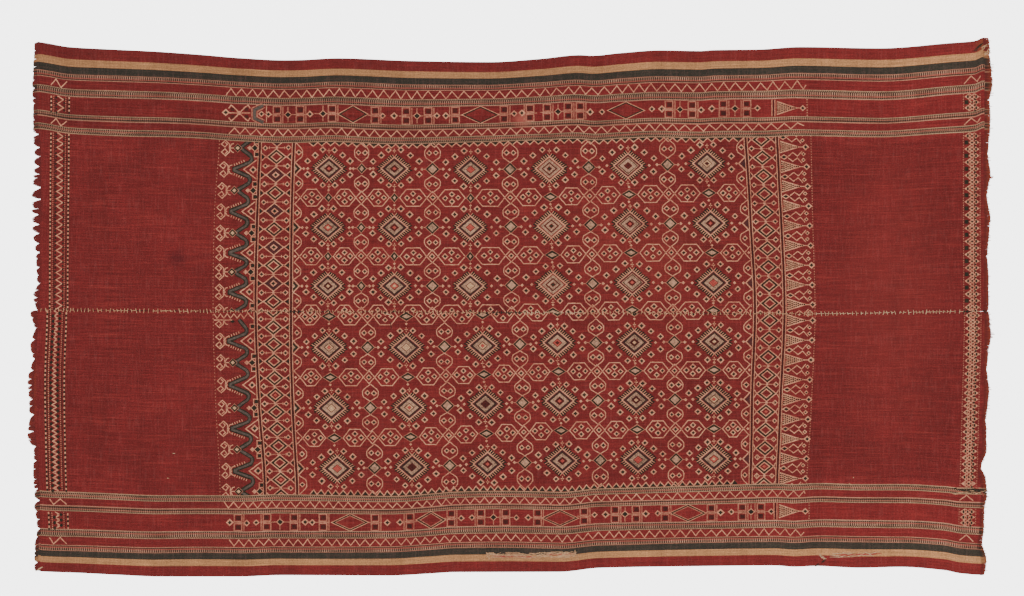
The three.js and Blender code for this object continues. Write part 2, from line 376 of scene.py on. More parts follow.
class NodeSketch:
    """Short calls for laying out a material's nodes."""

    def __init__(self, name: str) -> None:
        """Starts a material with its shader.

        Args:
            name: the material's name.
        """
        self.material = bpy.data.materials.new(name)
        self.material.use_nodes = True
        self.tree = self.material.node_tree
        self.tree.nodes.clear()
        self.shader = self.node("ShaderNodeBsdfPrincipled")
        self.node("ShaderNodeOutputMaterial", {"Surface": self.shader.outputs[0]})

    def node(self, kind: str, inputs: dict[str | int, object] | None = None,
             **settings: object) -> bpy.types.Node:
        """Adds a node.

        Args:
            kind: the node's type.
            inputs: a socket or a plain value for each input, by its name or number.
            settings: its own settings, by name.

        Returns:
            The node.
        """
        made = self.tree.nodes.new(kind)
        for key, value in settings.items():
            setattr(made, key, value)
        for key, value in (inputs or {}).items():
            self.feed(made.inputs[key], value)
        return made

    def feed(self, entry: Socket, value: object) -> None:
        """Links a socket to an input, or sets a plain value there.

        Args:
            entry: the input.
            value: another node's output, or the value.
        """
        if isinstance(value, Socket):
            self.tree.links.new(value, entry)
        else:
            entry.default_value = value

    def math(self, operation: str, first: object, second: object = 0.0) -> Socket:
        """A sum of two numbers or sockets."""
        return self.node("ShaderNodeMath", {0: first, 1: second}, operation=operation).outputs[0]

    def times(self, first: object, second: object) -> Socket:
        """One number or socket times another."""
        return self.math("MULTIPLY", first, second)

    def wave(self, place: object, pitch: float) -> Socket:
        """The angle of a wave of a pitch in millimetres, for a place in metres."""
        return self.times(place, 2 * math.pi / (pitch * MM))

    def place(self) -> Socket:
        """The piece's own coordinates, in metres."""
        return self.node("ShaderNodeTexCoord").outputs["Object"]

    def noise(self, place: Socket, scale: float | Sequence[float], detail: float = 2.0,
              rough: float = 0.5) -> Socket:
        """Adds a noise.

        Args:
            place: the coordinates.
            scale: its scale, or three of them for the three directions.
            detail: how many finer layers it has.
            rough: how strong the finer layers are.

        Returns:
            The noise's value.
        """
        if not isinstance(scale, float):
            place = self.node("ShaderNodeMapping", {"Scale": scale, "Vector": place}).outputs[0]
            scale = 1.0
        settings = {"Vector": place, "Scale": scale, "Detail": detail, "Roughness": rough}
        return self.node("ShaderNodeTexNoise", settings).outputs[0]

    def spread(self, value: object, low: float, high: float, to_low: float = 0.0,
               to_high: float = 1.0) -> Socket:
        """Maps low to high onto to_low to to_high, held at its ends."""
        ends = {"Value": value, "From Min": low, "From Max": high, "To Min": to_low, "To Max": to_high}
        return self.node("ShaderNodeMapRange", ends).outputs[0]

    def blend(self, share: object, first: object, second: object, mode: str = "MIX") -> Socket:
        """Mixes two colours by a share of the second."""
        colours = {0: share, 6: first, 7: second}
        return self.node("ShaderNodeMix", colours, data_type="RGBA", blend_type=mode).outputs[2]

    def ramp(self, value: object, stops: Sequence[tuple[float, Colour]], stepped: bool = False) -> Socket:
        """Adds a colour ramp.

        Args:
            value: what the ramp reads.
            stops: pairs of place and colour.
            stepped: whether each colour holds until the next.

        Returns:
            The ramp's colour.
        """
        made = self.node("ShaderNodeValToRGB", {0: value})
        band = made.color_ramp
        band.interpolation = "CONSTANT" if stepped else "LINEAR"
        for end in (0, -1):
            band.elements[end].position = stops[end][0]
            band.elements[end].color = stops[end][1]
        for place, colour in stops[1:-1]:
            band.elements.new(place).color = colour
        return made.outputs[0]

    def cotton(self, colour: Socket, relief: Socket, gloss: tuple[float, float],
               bump: tuple[float, float]) -> Material:
        """Gives the shader the look of matt cotton.

        Args:
            colour: its colour.
            relief: the height of its yarns.
            gloss: its roughness and the strength of its fuzz.
            bump: the relief's strength, and its depth in millimetres.

        Returns:
            The finished material.
        """
        depth = {"Strength": bump[0], "Distance": bump[1] * MM, "Height": relief}
        raised = self.node("ShaderNodeBump", depth).outputs[0]
        look = {"Base Color": colour, "Normal": raised, "Roughness": gloss[0], "Sheen Weight": gloss[1],
                "Sheen Roughness": 0.6, "Specular IOR Level": 0.15}
        for key, value in look.items():
            self.feed(self.shader.inputs[key], value)
        return self.material


class Stripe(NamedTuple):
    """A warp stripe of the border, from a distance in from the selvedge as it was warped. Ticks says how
    strongly pale cross-wise ticks show on it."""

    start: float
    red: int
    green: int
    blue: int
    ticks: float


BORDER_STRIPES = rows(
    Stripe, (0, 112, 33, 31, 0), (22.5, 174, 122, 80, 0), (36, 50, 46, 37, 0), (50, 150, 98, 76, 0),
    (51.6, 54, 38, 28, 0.9), (56.4, 128, 56, 46, 0.4), (59.2, 38, 32, 22, 0.1), (61.4, 168, 114, 90, 0),
    (62.9, 108, 30, 29, 0), (80.6, 152, 118, 90, 0.2), (82.2, 52, 44, 30, 0.6), (84.8, 56, 38, 28, 0.9),
    (89.6, 136, 66, 54, 0.3), (92.0, 38, 34, 24, 0.5), (94.6, 158, 114, 90, 0.3), (97, 110, 30, 29, 0),
    (133, 156, 122, 94, 0.1), (134.8, 60, 50, 34, 0.5), (137.0, 118, 66, 52, 0.8), (139.8, 34, 28, 20, 0.2),
    (141.8, 74, 46, 34, 0.2), (143.4, 166, 112, 88, 0), (144.9, 108, 30, 29, 0), (160, 154, 122, 92, 0.1),
    (161.6, 44, 40, 28, 0.7), (164.2, 138, 72, 58, 0.3), (166.6, 66, 44, 32, 0.9), (169.2, 40, 36, 24, 0.3),
    (170.9, 156, 120, 92, 0), (173, 113, 32, 31, 0),
)


class StainOrPaintedLight(NamedTuple):
    """A discoloured spot, or in some rows a broad patch of painted light: its middle in chart squares,
    its half sizes, its strength and its colour.
    """

    right: float
    down: float
    half_wide: float
    half_high: float
    strength: float
    colour: tuple[int, int, int]


# Most rows are stains. The row at 890, 300 is a broad paler wash, a painted light that brightens the right
# part of the cloth. The row at 640, 250 lays a broad paler wash over the upper panel's middle, and the row at
# 495, 306 darkens a strip along the middle of the join.
STAINS_AND_PAINTED_LIGHT = rows(
    StainOrPaintedLight, (522, 119, 11, 9, 0.45, (205, 110, 92)), (177, 258, 12, 10, 0.45, (66, 18, 24)),
    (985, 46, 10, 14, 0.5, (150, 92, 54)), (988, 300, 5, 250, 0.35, (150, 74, 42)),
    (32, 360, 5, 120, 0.35, (150, 72, 40)), (495, 306, 26, 8, 0.30, (50, 16, 18)),
    (890, 300, 75, 190, 0.18, (164, 64, 58)), (640, 250, 90, 70, 0.10, (176, 78, 62)),
)


class WearAndSheen(NamedTuple):
    """Paler fibres on the dye, and in the last row pale flecks, partly fibres and partly a painted sheen of
    fibres catching the light: the grain's scale, detail and roughness, the values of it between which
    they come up, their colour, and how strong they are on the selvedge stripe."""

    scale: Spot
    detail: float
    rough: float
    low: float
    high: float
    colour: tuple[int, int, int]
    on_stripe: float


# The first row is faded dye and the second rubbed fibres; the last row's flecks are partly pale fibres and
# partly a painted sheen of fibres catching the light.
WEAR_AND_SHEEN = rows(
    WearAndSheen, ((10, 300, 1), 3.0, 0.6, 0.5, 0.8, (96, 34, 26), 0.2),
    ((280, 30, 1), 2.0, 0.5, 0.5, 0.8, (56, 34, 32), 1.0),
    ((430, 430, 1), 1.0, 0.5, 0.56, 0.84, (84, 46, 42), 1.0),
)


class Tone(NamedTuple):
    """A layer of uneven tone: the grain's scale and detail, its darkest factor and its lightest."""

    scale: Spot
    detail: float
    dark: float
    light: float


TONES = rows(
    Tone, ((8, 360, 1), 3.0, 0.76, 1.24), ((40, 600, 1), 2.0, 0.76, 1.24), ((6, 9, 1), 4.0, 0.80, 1.18),
    ((460, 14, 1), 2.0, 0.87, 1.13), ((360, 360, 1), 1.0, 0.72, 1.28), ((34, 2.2, 1), 2.0, 0.90, 1.10),
)


@dataclass(frozen=True)
class GroundFinish:
    """Crimson warp-faced cotton with the border's stripes."""

    name: str
    # Painted light on the border: its factor at the left end and at the right end, brighter to the right.
    border_painted_light: tuple[float, float]
    stripe_span: float = 180.0
    tick_pitch: float = 4.5
    tick_row: float = 12.0
    tick_colour: tuple[int, int, int] = (192, 142, 114)
    warp_pitch: float = 1.05
    weft_pitch: float = 1.5
    weft_share: float = 0.7
    weave_height: float = 0.3
    slub_height: float = 1.6
    edge_wander: float = 0.4

    def make(self) -> Material:
        """Lays out the material's nodes.

        Returns:
            The material.
        """
        sketch = NodeSketch(self.name)
        spot = sketch.node("ShaderNodeUVMap", uv_map="warp_and_weft").outputs[0]
        along, inset, _ = sketch.node("ShaderNodeSeparateXYZ", {0: spot}).outputs
        shade = self.shade(sketch, spot, along, inset)
        colour = sketch.blend(1.0, self.stripes(sketch, spot, along, inset), shade, "MULTIPLY")
        # Pale fibres added on the dye, and in the last layer a painted sheen.
        for wear_or_sheen in WEAR_AND_SHEEN:
            grain = sketch.noise(spot, wear_or_sheen.scale, wear_or_sheen.detail, wear_or_sheen.rough)
            share = sketch.spread(grain, wear_or_sheen.low, wear_or_sheen.high)
            if wear_or_sheen.on_stripe < 1:
                share = sketch.times(share, sketch.spread(inset, 0.049, 0.052, wear_or_sheen.on_stripe, 1.0))
            colour = sketch.blend(share, colour, srgb(*wear_or_sheen.colour), "ADD")
        place = sketch.place()
        # Stains, and broad patches of painted light, blended in one by one.
        for stain_or_light in STAINS_AND_PAINTED_LIGHT:
            colour = self.stained_and_lit(sketch, place, colour, stain_or_light)
        ribs = sketch.math("SINE", sketch.wave(inset, self.warp_pitch))
        floats = sketch.math("SINE", sketch.wave(along, self.weft_pitch))
        weave = sketch.math("ADD", ribs, sketch.times(floats, self.weft_share))
        slub = sketch.noise(spot, (240, 380, 1), 2.0, 0.7)
        relief = sketch.math("ADD", sketch.times(weave, self.weave_height),
                             sketch.times(slub, self.slub_height))
        return sketch.cotton(colour, relief, (0.9, 0.12), (0.55, 0.28))

    def stripes(self, sketch: NodeSketch, spot: Socket, along: Socket, inset: Socket) -> Socket:
        """The warp stripes with their ticks.

        Args:
            sketch: the material.
            spot: the thread map.
            along: place along the warp.
            inset: distance in from the selvedge.

        Returns:
            The colour.
        """
        wander = sketch.math("SUBTRACT", sketch.noise(spot, (60, 14, 1), 3.0, 0.6), 0.5)
        drift = sketch.times(wander, self.edge_wander * 2 * MM)
        held = sketch.math("DIVIDE", sketch.math("ADD", inset, drift), self.stripe_span * MM)
        colours = [(row.start / self.stripe_span, srgb(row.red, row.green, row.blue))
                   for row in BORDER_STRIPES]
        ticks = [(row.start / self.stripe_span, (row.ticks,) * 3 + (1.0,)) for row in BORDER_STRIPES]
        row = sketch.math("FLOOR", sketch.math("DIVIDE", inset, self.tick_row * MM))
        uneven = sketch.times(sketch.noise(spot, (40, 12, 1), 1.0), 4.0)
        turned = sketch.math("ADD", sketch.wave(along, self.tick_pitch), uneven)
        turned = sketch.math("ADD", turned, sketch.times(row, 2.3))
        tick = sketch.spread(sketch.math("SINE", turned), 0.12, 0.55)
        fading = sketch.spread(sketch.noise(spot, (16, 40, 1)), 0.36, 0.62, 0.42, 0.95)
        share = sketch.times(sketch.times(tick, sketch.ramp(held, ticks, stepped=True)), fading)
        return sketch.blend(share, sketch.ramp(held, colours, stepped=True), srgb(*self.tick_colour))

    def shade(self, sketch: NodeSketch, spot: Socket, along: Socket, inset: Socket) -> Socket:
        """Uneven dye, yarn and light, and painted light that brightens the border rightwards, as a grey to
        multiply by.

        Args:
            sketch: the material.
            spot: the thread map.
            along: place along the warp.
            inset: distance in from the selvedge.

        Returns:
            The grey, about 1 in the middle.
        """
        shade: object = 1.0
        for tone in TONES:
            grain = sketch.noise(spot, tone.scale, tone.detail, 0.62)
            shade = sketch.times(shade, sketch.spread(grain, 0.25, 0.75, tone.dark, tone.light))
        # Painted light: the border grows brighter from its left end to its right end.
        left, right = self.border_painted_light
        lift = sketch.times(sketch.spread(along, -0.2, 0.85, left - 1, right - 1),
                            sketch.spread(inset, 0.172, 0.19, 1.0, 0.0))
        shade = sketch.times(shade, sketch.math("ADD", lift, 1.0))
        return sketch.node("ShaderNodeCombineColor", {0: shade, 1: shade, 2: shade}).outputs[0]

    def stained_and_lit(self, sketch: NodeSketch, place: Socket, colour: Socket, stain_or_light: StainOrPaintedLight) -> Socket:
        """Blends in one discoloured spot or one broad patch of painted light.

        Args:
            sketch: the material.
            place: the piece's coordinates.
            colour: the colour so far.
            stain_or_light: the discoloured spot or the patch of painted light.

        Returns:
            The colour with it blended in.
        """
        along, across = on_cloth((stain_or_light.right, stain_or_light.down))
        size = (stain_or_light.half_wide * CHART_SQUARE * MM, stain_or_light.half_high * CHART_SQUARE * MM, 1)
        middle = ((along + FRAME_SHIFT) * MM, across * MM, 0)
        moved = sketch.node("ShaderNodeMapping", {"Location": middle, "Scale": size, "Vector": place},
                            vector_type="TEXTURE")
        length = sketch.node("ShaderNodeVectorMath", {0: moved.outputs[0]}, operation="LENGTH")
        ragged = sketch.times(sketch.noise(place, 130.0, 3.0, 0.6), 0.9)
        reach = sketch.math("ADD", length.outputs["Value"], ragged)
        return sketch.blend(sketch.spread(reach, 0.7, 1.5, stain_or_light.strength, 0.0), colour, srgb(*stain_or_light.colour))


class Yarn(Enum):
    """The yarns of the pattern, each with its height above the ground cloth in millimetres."""

    BROWN = 0.10
    PLUM = 0.13
    DARK = 0.16
    SLATE = 0.19
    GREY = 0.21
    PALE = 0.22
    TAN = 0.24
    CREAM = 0.28
    LIGHT = 0.29
    ROSE = 0.31
    INK = 0.35
    WHITE = 0.42


BROWN, PLUM, DARK, SLATE, GREY, PALE, TAN, CREAM, LIGHT, ROSE, INK, WHITE = Yarn


@dataclass(frozen=True)
class YarnFinish:
    """Pattern yarn of one colour, mottled by its dye and by what shows between its turns."""

    name: str
    light: tuple[int, int, int]
    deep: tuple[int, int, int]
    mottle: float = 260.0

    def make(self) -> Material:
        """Lays out the material's nodes.

        Returns:
            The material.
        """
        sketch = NodeSketch(self.name)
        place = sketch.place()
        coarse = sketch.noise(place, self.mottle, 2.0, 0.7)
        broad = sketch.noise(place, 14.0, 3.0, 0.6)
        mixed = sketch.math("ADD", sketch.times(coarse, 0.66), sketch.times(broad, 0.34))
        colour = sketch.ramp(mixed, ((0.36, srgb(*self.deep)), (0.62, srgb(*self.light))))
        return sketch.cotton(colour, sketch.noise(place, (700, 1400, 700), 1.0), (0.88, 0.15), (0.6, 0.3))


YARN_FINISHES = {
    BROWN: YarnFinish("brown_yarn", (88, 32, 24), (52, 20, 16)),
    PLUM: YarnFinish("plum_yarn", (90, 40, 38), (54, 27, 26)),
    DARK: YarnFinish("dark_yarn", (56, 46, 30), (30, 25, 17)),
    SLATE: YarnFinish("slate_yarn", (104, 88, 78), (62, 54, 47)),
    GREY: YarnFinish("grey_green_yarn", (208, 156, 124), (84, 62, 50), 380.0),
    PALE: YarnFinish("pale_yarn", (212, 158, 126), (140, 98, 76)),
    TAN: YarnFinish("tan_yarn", (202, 132, 104), (144, 78, 62)),
    CREAM: YarnFinish("cream_yarn", (228, 160, 124), (174, 102, 80)),
    LIGHT: YarnFinish("light_yarn", (222, 178, 134), (180, 126, 92)),
    ROSE: YarnFinish("rose_yarn", (196, 92, 76), (160, 56, 50)),
    INK: YarnFinish("ink_yarn", (50, 42, 28), (26, 22, 15)),
    WHITE: YarnFinish("sewing_yarn", (230, 196, 156), (190, 146, 110)),
}


def mesh_piece(name: str, points: np.ndarray, faces: Sequence[Sequence[int]]) -> Piece:
    """Makes a mesh object that sits at the origin.

    Args:
        name: the piece's name.
        points: its points, in millimetres of the cloth's own layout.
        faces: its faces, as rows of point numbers.

    Returns:
        The object, in the scene.
    """
    mesh = bpy.data.meshes.new(name)
    placed = (np.asarray(points, float) + np.array([FRAME_SHIFT, 0, 0])) * MM
    mesh.from_pydata([tuple(p) for p in placed], [], [tuple(f) for f in faces])
    mesh.validate()
    piece = bpy.data.objects.new(name, mesh)
    bpy.context.scene.collection.objects.link(piece)
    return piece


def dress(piece: Piece, material: Material, nodes: Sequence[str]) -> None:
    """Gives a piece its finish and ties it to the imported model.

    Args:
        piece: the piece.
        material: its finish.
        nodes: the solids that it stands for.
    """
    piece.data.materials.append(material)
    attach(piece, "root")
    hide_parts(*nodes)


class Track:
    """A curve across the chart, sampled closely so that it reads fast."""

    def __init__(self, curve: Callable[[np.ndarray], np.ndarray], start: float = -1040.0, end: float = 1040.0,
                 step: float = 4.0) -> None:
        """Samples the curve.

        Args:
            curve: the curve, over places along in millimetres.
            start: first place.
            end: last place.
            step: from sample to sample.
        """
        self.start = start
        self.step = step
        self.values = [float(value) for value in curve(np.arange(start, end + step, step))]

    def __call__(self, along: float) -> float:
        """The value at one place along."""
        steps = (along - self.start) / self.step
        k = min(max(int(steps), 0), len(self.values) - 2)
        return self.values[k] + (self.values[k + 1] - self.values[k]) * (steps - k)


CORNERS = ((-1, -1), (1, -1), (1, 1), (-1, 1))
TIPS = ((-1, 0), (0, -1), (1, 0), (0, 1))


class PanelChart:
    """Gathers the pattern yarns of one panel as flat outlines, and lays each yarn as one mesh."""

    join_margin = 0.5
    smallest_patch = 0.3
    sharpest_bend = 0.5
    longest_mitre = 1.6

    def __init__(self, form: PanelForm, seed: int) -> None:
        """Starts an empty chart.

        Args:
            form: the panel's form.
            seed: start of its small unevenness.
        """
        self.form = form
        self.random = random.Random(seed)
        self.shapes: dict[Yarn, list[list[Point]]] = {yarn: [] for yarn in Yarn}
        self.join = Track(join_at)
        self.border = Track(lambda along: form.across_at(along, WARPED.whole + 0.4))
        self.fenced = False

    def wobble(self, size: float = 0.14) -> float:
        """A small random offset, in chart squares."""
        return self.random.uniform(-size, size)

    def edge(self, track: Track, right: float) -> float:
        """Where the border or the join lies at a place along, in chart squares down."""
        return CHART_MIDDLE[1] - track((right - CHART_MIDDLE[0]) * CHART_SQUARE) / CHART_SQUARE

    def patch(self, yarn: Yarn, corners: Sequence[Point]) -> None:
        """Fills a convex outline.

        Args:
            yarn: its yarn.
            corners: its corners, in chart squares.
        """
        side = self.form.side
        kept = [on_cloth(corner) for corner in corners]
        kept = self.cut(kept, [side * (y - self.join(x)) - self.join_margin for x, y in kept])
        if self.fenced:
            kept = self.cut(kept, [side * (self.border(x) - y) for x, y in kept])
        area = sum(ax * by - bx * ay for (ax, ay), (bx, by) in zip(kept, kept[1:] + kept[:1]))
        if len(kept) > 2 and abs(area) >= self.smallest_patch:
            self.shapes[yarn].append(kept if area > 0 else kept[::-1])

    @staticmethod
    def cut(corners: list[Point], depths: list[float]) -> list[Point]:
        """Keeps the part of an outline that lies on the deep side of a line.

        Args:
            corners: its corners.
            depths: how deep each corner lies.

        Returns:
            The corners of the part kept.
        """
        if not corners or min(depths) >= 0:
            return corners
        kept = []
        for k, (x, y) in enumerate(corners):
            after = (k + 1) % len(corners)
            if depths[k] >= 0:
                kept.append((x, y))
            if (depths[k] >= 0) != (depths[after] >= 0):
                share = depths[k] / (depths[k] - depths[after])
                kept.append((x + share * (corners[after][0] - x), y + share * (corners[after][1] - y)))
        return kept

    def stroke(self, yarn: Yarn, points: Sequence[Point], width: float = 1.15, closed: bool = False,
               step: float = 2.2, wobble: float = 0.14, offset: float = 0.0) -> None:
        """Lays a yarn along a line.

        Args:
            yarn: its yarn.
            points: the line's corners, in chart squares.
            width: its width, in chart squares.
            closed: whether the line ends where it starts.
            step: the longest piece between two slight bends.
            wobble: how far the yarn strays.
            offset: how far beside the line it runs.
        """
        corners = list(points) + ([points[0]] if closed else [])
        path = []
        for (ax, ay), (bx, by) in zip(corners, corners[1:]):
            pieces = max(1, round(math.hypot(bx - ax, by - ay) / step))
            for k in range(pieces):
                path.append((ax + (bx - ax) * k / pieces + self.wobble(wobble),
                             ay + (by - ay) * k / pieces + self.wobble(wobble)))
        path.append(path[0] if closed else corners[-1])
        befores = [path[-2] if closed else path[0]] + path[:-1]
        afters = path[1:] + [path[1] if closed else path[-1]]
        edges = []
        for before, (x, y), after in zip(befores, path, afters):
            inward = self.unit(before, (x, y))
            outward = self.unit((x, y), after)
            inward = inward or outward
            outward = outward or inward
            if inward is None or outward is None:
                return
            across = (-(inward[1] + outward[1]), inward[0] + outward[0])
            length = math.hypot(*across)
            if length < self.sharpest_bend:
                across = (-inward[1], inward[0])
                length = 1.0
            mitre = min(2 / length, self.longest_mitre)
            half = width / 2 * mitre * (1 + self.wobble(0.15))
            ux, uy = across[0] / length, across[1] / length
            near, far = offset * mitre + half, offset * mitre - half
            edges.append(((x + ux * near, y + uy * near), (x + ux * far, y + uy * far)))
        if closed:
            edges[-1] = edges[0]
        for (a, b), (c, d) in zip(edges, edges[1:]):
            self.patch(yarn, (a, b, d, c))

    def dotted(self, yarn: Yarn, points: Sequence[Point], width: float, pitch: float, share: float = 0.5,
               phase: float = 0.0) -> None:
        """Lays a row of small blocks along a line.

        Args:
            yarn: its yarn.
            points: the line's corners, in chart squares.
            width: a block's width.
            pitch: from block to block.
            share: how much of the pitch a block fills.
            phase: where the first block starts, in pitches.
        """
        gone = phase * pitch
        half = width / 2
        run = pitch * share
        for start, end in zip(points, points[1:]):
            length = math.hypot(end[0] - start[0], end[1] - start[1])
            ux, uy = self.unit(start, end) or (0.0, 0.0)
            while gone < length:
                x = start[0] + ux * gone + self.wobble(0.12)
                y = start[1] + uy * gone + self.wobble(0.12)
                self.patch(yarn, [(x - uy * out + ux * far, y + ux * out + uy * far)
                                  for far, out in ((0, half), (0, -half), (run, -half), (run, half))])
                gone += pitch
            gone -= length

    @staticmethod
    def unit(start: Point, end: Point) -> Point | None:
        """The direction from one point to another, or None where they meet."""
        dx = end[0] - start[0]
        dy = end[1] - start[1]
        length = math.hypot(dx, dy)
        return (dx / length, dy / length) if length > 1e-6 else None

    def block(self, yarn: Yarn, x: float, y: float, half_wide: float, half_high: float) -> None:
        """Fills an upright rectangle round a middle."""
        self.patch(yarn, [(x + dx * half_wide, y + dy * half_high) for dx, dy in CORNERS])

    def diamond(self, yarn: Yarn, x: float, y: float, half_wide: float, half_high: float) -> None:
        """Fills a diamond round a middle."""
        w = self.wobble
        self.patch(yarn, ((x - half_wide, y + w()), (x + w(), y - half_high), (x + half_wide, y + w()),
                          (x + w(), y + half_high)))

    def ring(self, yarn: Yarn, x: float, y: float, outer: Point, inner: Point) -> None:
        """Lays a diamond-shaped ring.

        Args:
            yarn: its yarn.
            x, y: its middle, right and down.
            outer: half width and half height outside.
            inner: half width and half height inside.
        """
        around = []
        for dx, dy in TIPS:
            nx, ny = self.wobble(), self.wobble()
            around.append([(x + dx * wide + nx, y + dy * high + ny) for wide, high in (outer, inner)])
        for (a, b), (c, d) in zip(around, around[1:] + around[:1]):
            self.patch(yarn, (a, c, d, b))

    def seed_diamond(self, x: float, y: float, size: float = 1.0) -> None:
        """The small diamond that fills the ground: cream round a dark middle.

        Args:
            x, y: its middle, right and down.
            size: how large, where 1 is the usual one.
        """
        x += self.wobble(0.35)
        y += self.wobble(0.35)
        scale = size * (1 + self.wobble(0.1))
        self.ring(CREAM, x, y, (3.4 * scale, 3.25 * scale), (1.85 * scale, 1.75 * scale))
        self.diamond(DARK, x, y, 1.9 * scale, 1.8 * scale)

    def solid_blob(self, x: float, y: float, size: float) -> None:
        """A small cream arrowhead."""
        self.diamond(CREAM, x, y, size, size * 0.95)

    def lay(self, yarn: Yarn) -> Piece | None:
        """Makes one mesh of all that a yarn draws.

        Args:
            yarn: the yarn.

        Returns:
            The piece, or None where the yarn draws nothing.
        """
        shapes = self.shapes[yarn]
        if not shapes:
            return None
        flat = np.array([corner for shape in shapes for corner in shape])
        face = face_at(flat[:, 0], flat[:, 1])
        levels = (face + yarn.value, face - YARN_ROOT)
        total = len(flat)
        faces: list[list[int]] = []
        first = 0
        for shape in shapes:
            top = list(range(first, first + len(shape)))
            faces += [top, [total + k for k in reversed(top)]]
            faces += [[a, total + a, total + b, b] for a, b in zip(top, top[1:] + top[:1])]
            first += len(shape)
        points = np.concatenate([np.column_stack([flat, level]) for level in levels])
        return mesh_piece(f"figures_{yarn.name.lower()}_{self.form.name}", points, faces)


class DiamondStyle(Enum):
    """How the inside of a large toothed diamond is woven: each ring's yarn, or None for the one that
    varies, and its outer and inner half width."""

    PLUM_RING = ((CREAM, 15.2, 13.2), (PLUM, 13.1, 10.8), (INK, 10.8, 9.6),
                 (GREY, 9.6, 5.2), (BROWN, 5.2, 4.4), (None, 4.2, 2.4))
    FINE_RING = ((CREAM, 15.2, 13.3), (PLUM, 13.0, 11.6), (GREY, 10.9, 9.9),
                 (DARK, 9.6, 8.6), (GREY, 8.6, 4.6), (BROWN, 4.2, 2.6))
    DARK_HEART = ((CREAM, 15.0, 12.9), (GREY, 11.4, 8.0), (BROWN, 7.6, 6.4),
                  (GREY, 6.0, 3.0))


# The upper panel's diamonds that differ, by their place in the row.
ODD_DIAMONDS = {4: DiamondStyle.DARK_HEART, 5: DiamondStyle.FINE_RING}


class DiamondRow(NamedTuple):
    """A row of large diamonds: the middle of each, in chart squares."""

    right: tuple[float, ...]
    down: tuple[float, ...]


UPPER_DIAMONDS = rows(
    DiamondRow, ((329, 394.4, 470.7, 549.4, 628, 707), (168.6, 168.7, 169.6, 168.7, 165.7, 163.5)),
    ((328, 394.4, 470.3, 551.4, 630, 710.5), (227.5, 227.5, 227.5, 226, 223.9, 223.2)),
    ((328, 394.4, 470.3, 553, 632.2, 713.4), (286, 286, 286, 284.6, 282.4, 282.9)),
)

LOWER_DIAMONDS = rows(
    DiamondRow, ((329, 406.3, 482.6, 557.4, 634.4, 714.3), (347.4, 347.4, 345.7, 342.7, 342.5, 341.6)),
    ((331.5, 409.3, 485.4, 559.6, 636.1, 714), (408.2, 407.5, 403.9, 401, 400, 399.2)),
    ((337.3, 412, 487.6, 562.4, 638.1, 713.9), (468.5, 467.2, 464.1, 460.9, 459.8, 458.9)),
)

# Upright lines that part the pattern's fields, in chart squares: pairs of place down and place right.
LINE_ONE = Curve([
    (140, 260), (180, 258.6), (228, 256.8), (300, 255.5), (400, 258.8), (490, 264.8),
])
LINE_TWO = Curve([
    (140, 294), (165, 293), (228, 291.5), (312, 291), (345, 291), (400, 292.4), (440, 294.4), (494, 297.2),
])
LINE_THREE = Curve([
    (137, 745.5), (160, 747), (190, 749), (225, 750.8), (310, 755), (400, 752), (440, 751.5), (490, 750.5),
])
LINE_FOUR = Curve([
    (137, 777), (157, 778), (190, 779.5), (223, 781.3), (310, 784.5), (400, 780.5), (440, 779), (490, 777),
])
PATTERN_LEFT = Curve([
    (130, 219.8), (150, 219), (212, 214.5), (300, 213), (400, 215.6), (490, 220),
])
PATTERN_RIGHT = Curve([
    (135, 811), (190, 812), (220, 812.7), (310, 815), (400, 811.5), (430, 810), (460, 808), (490, 806),
])


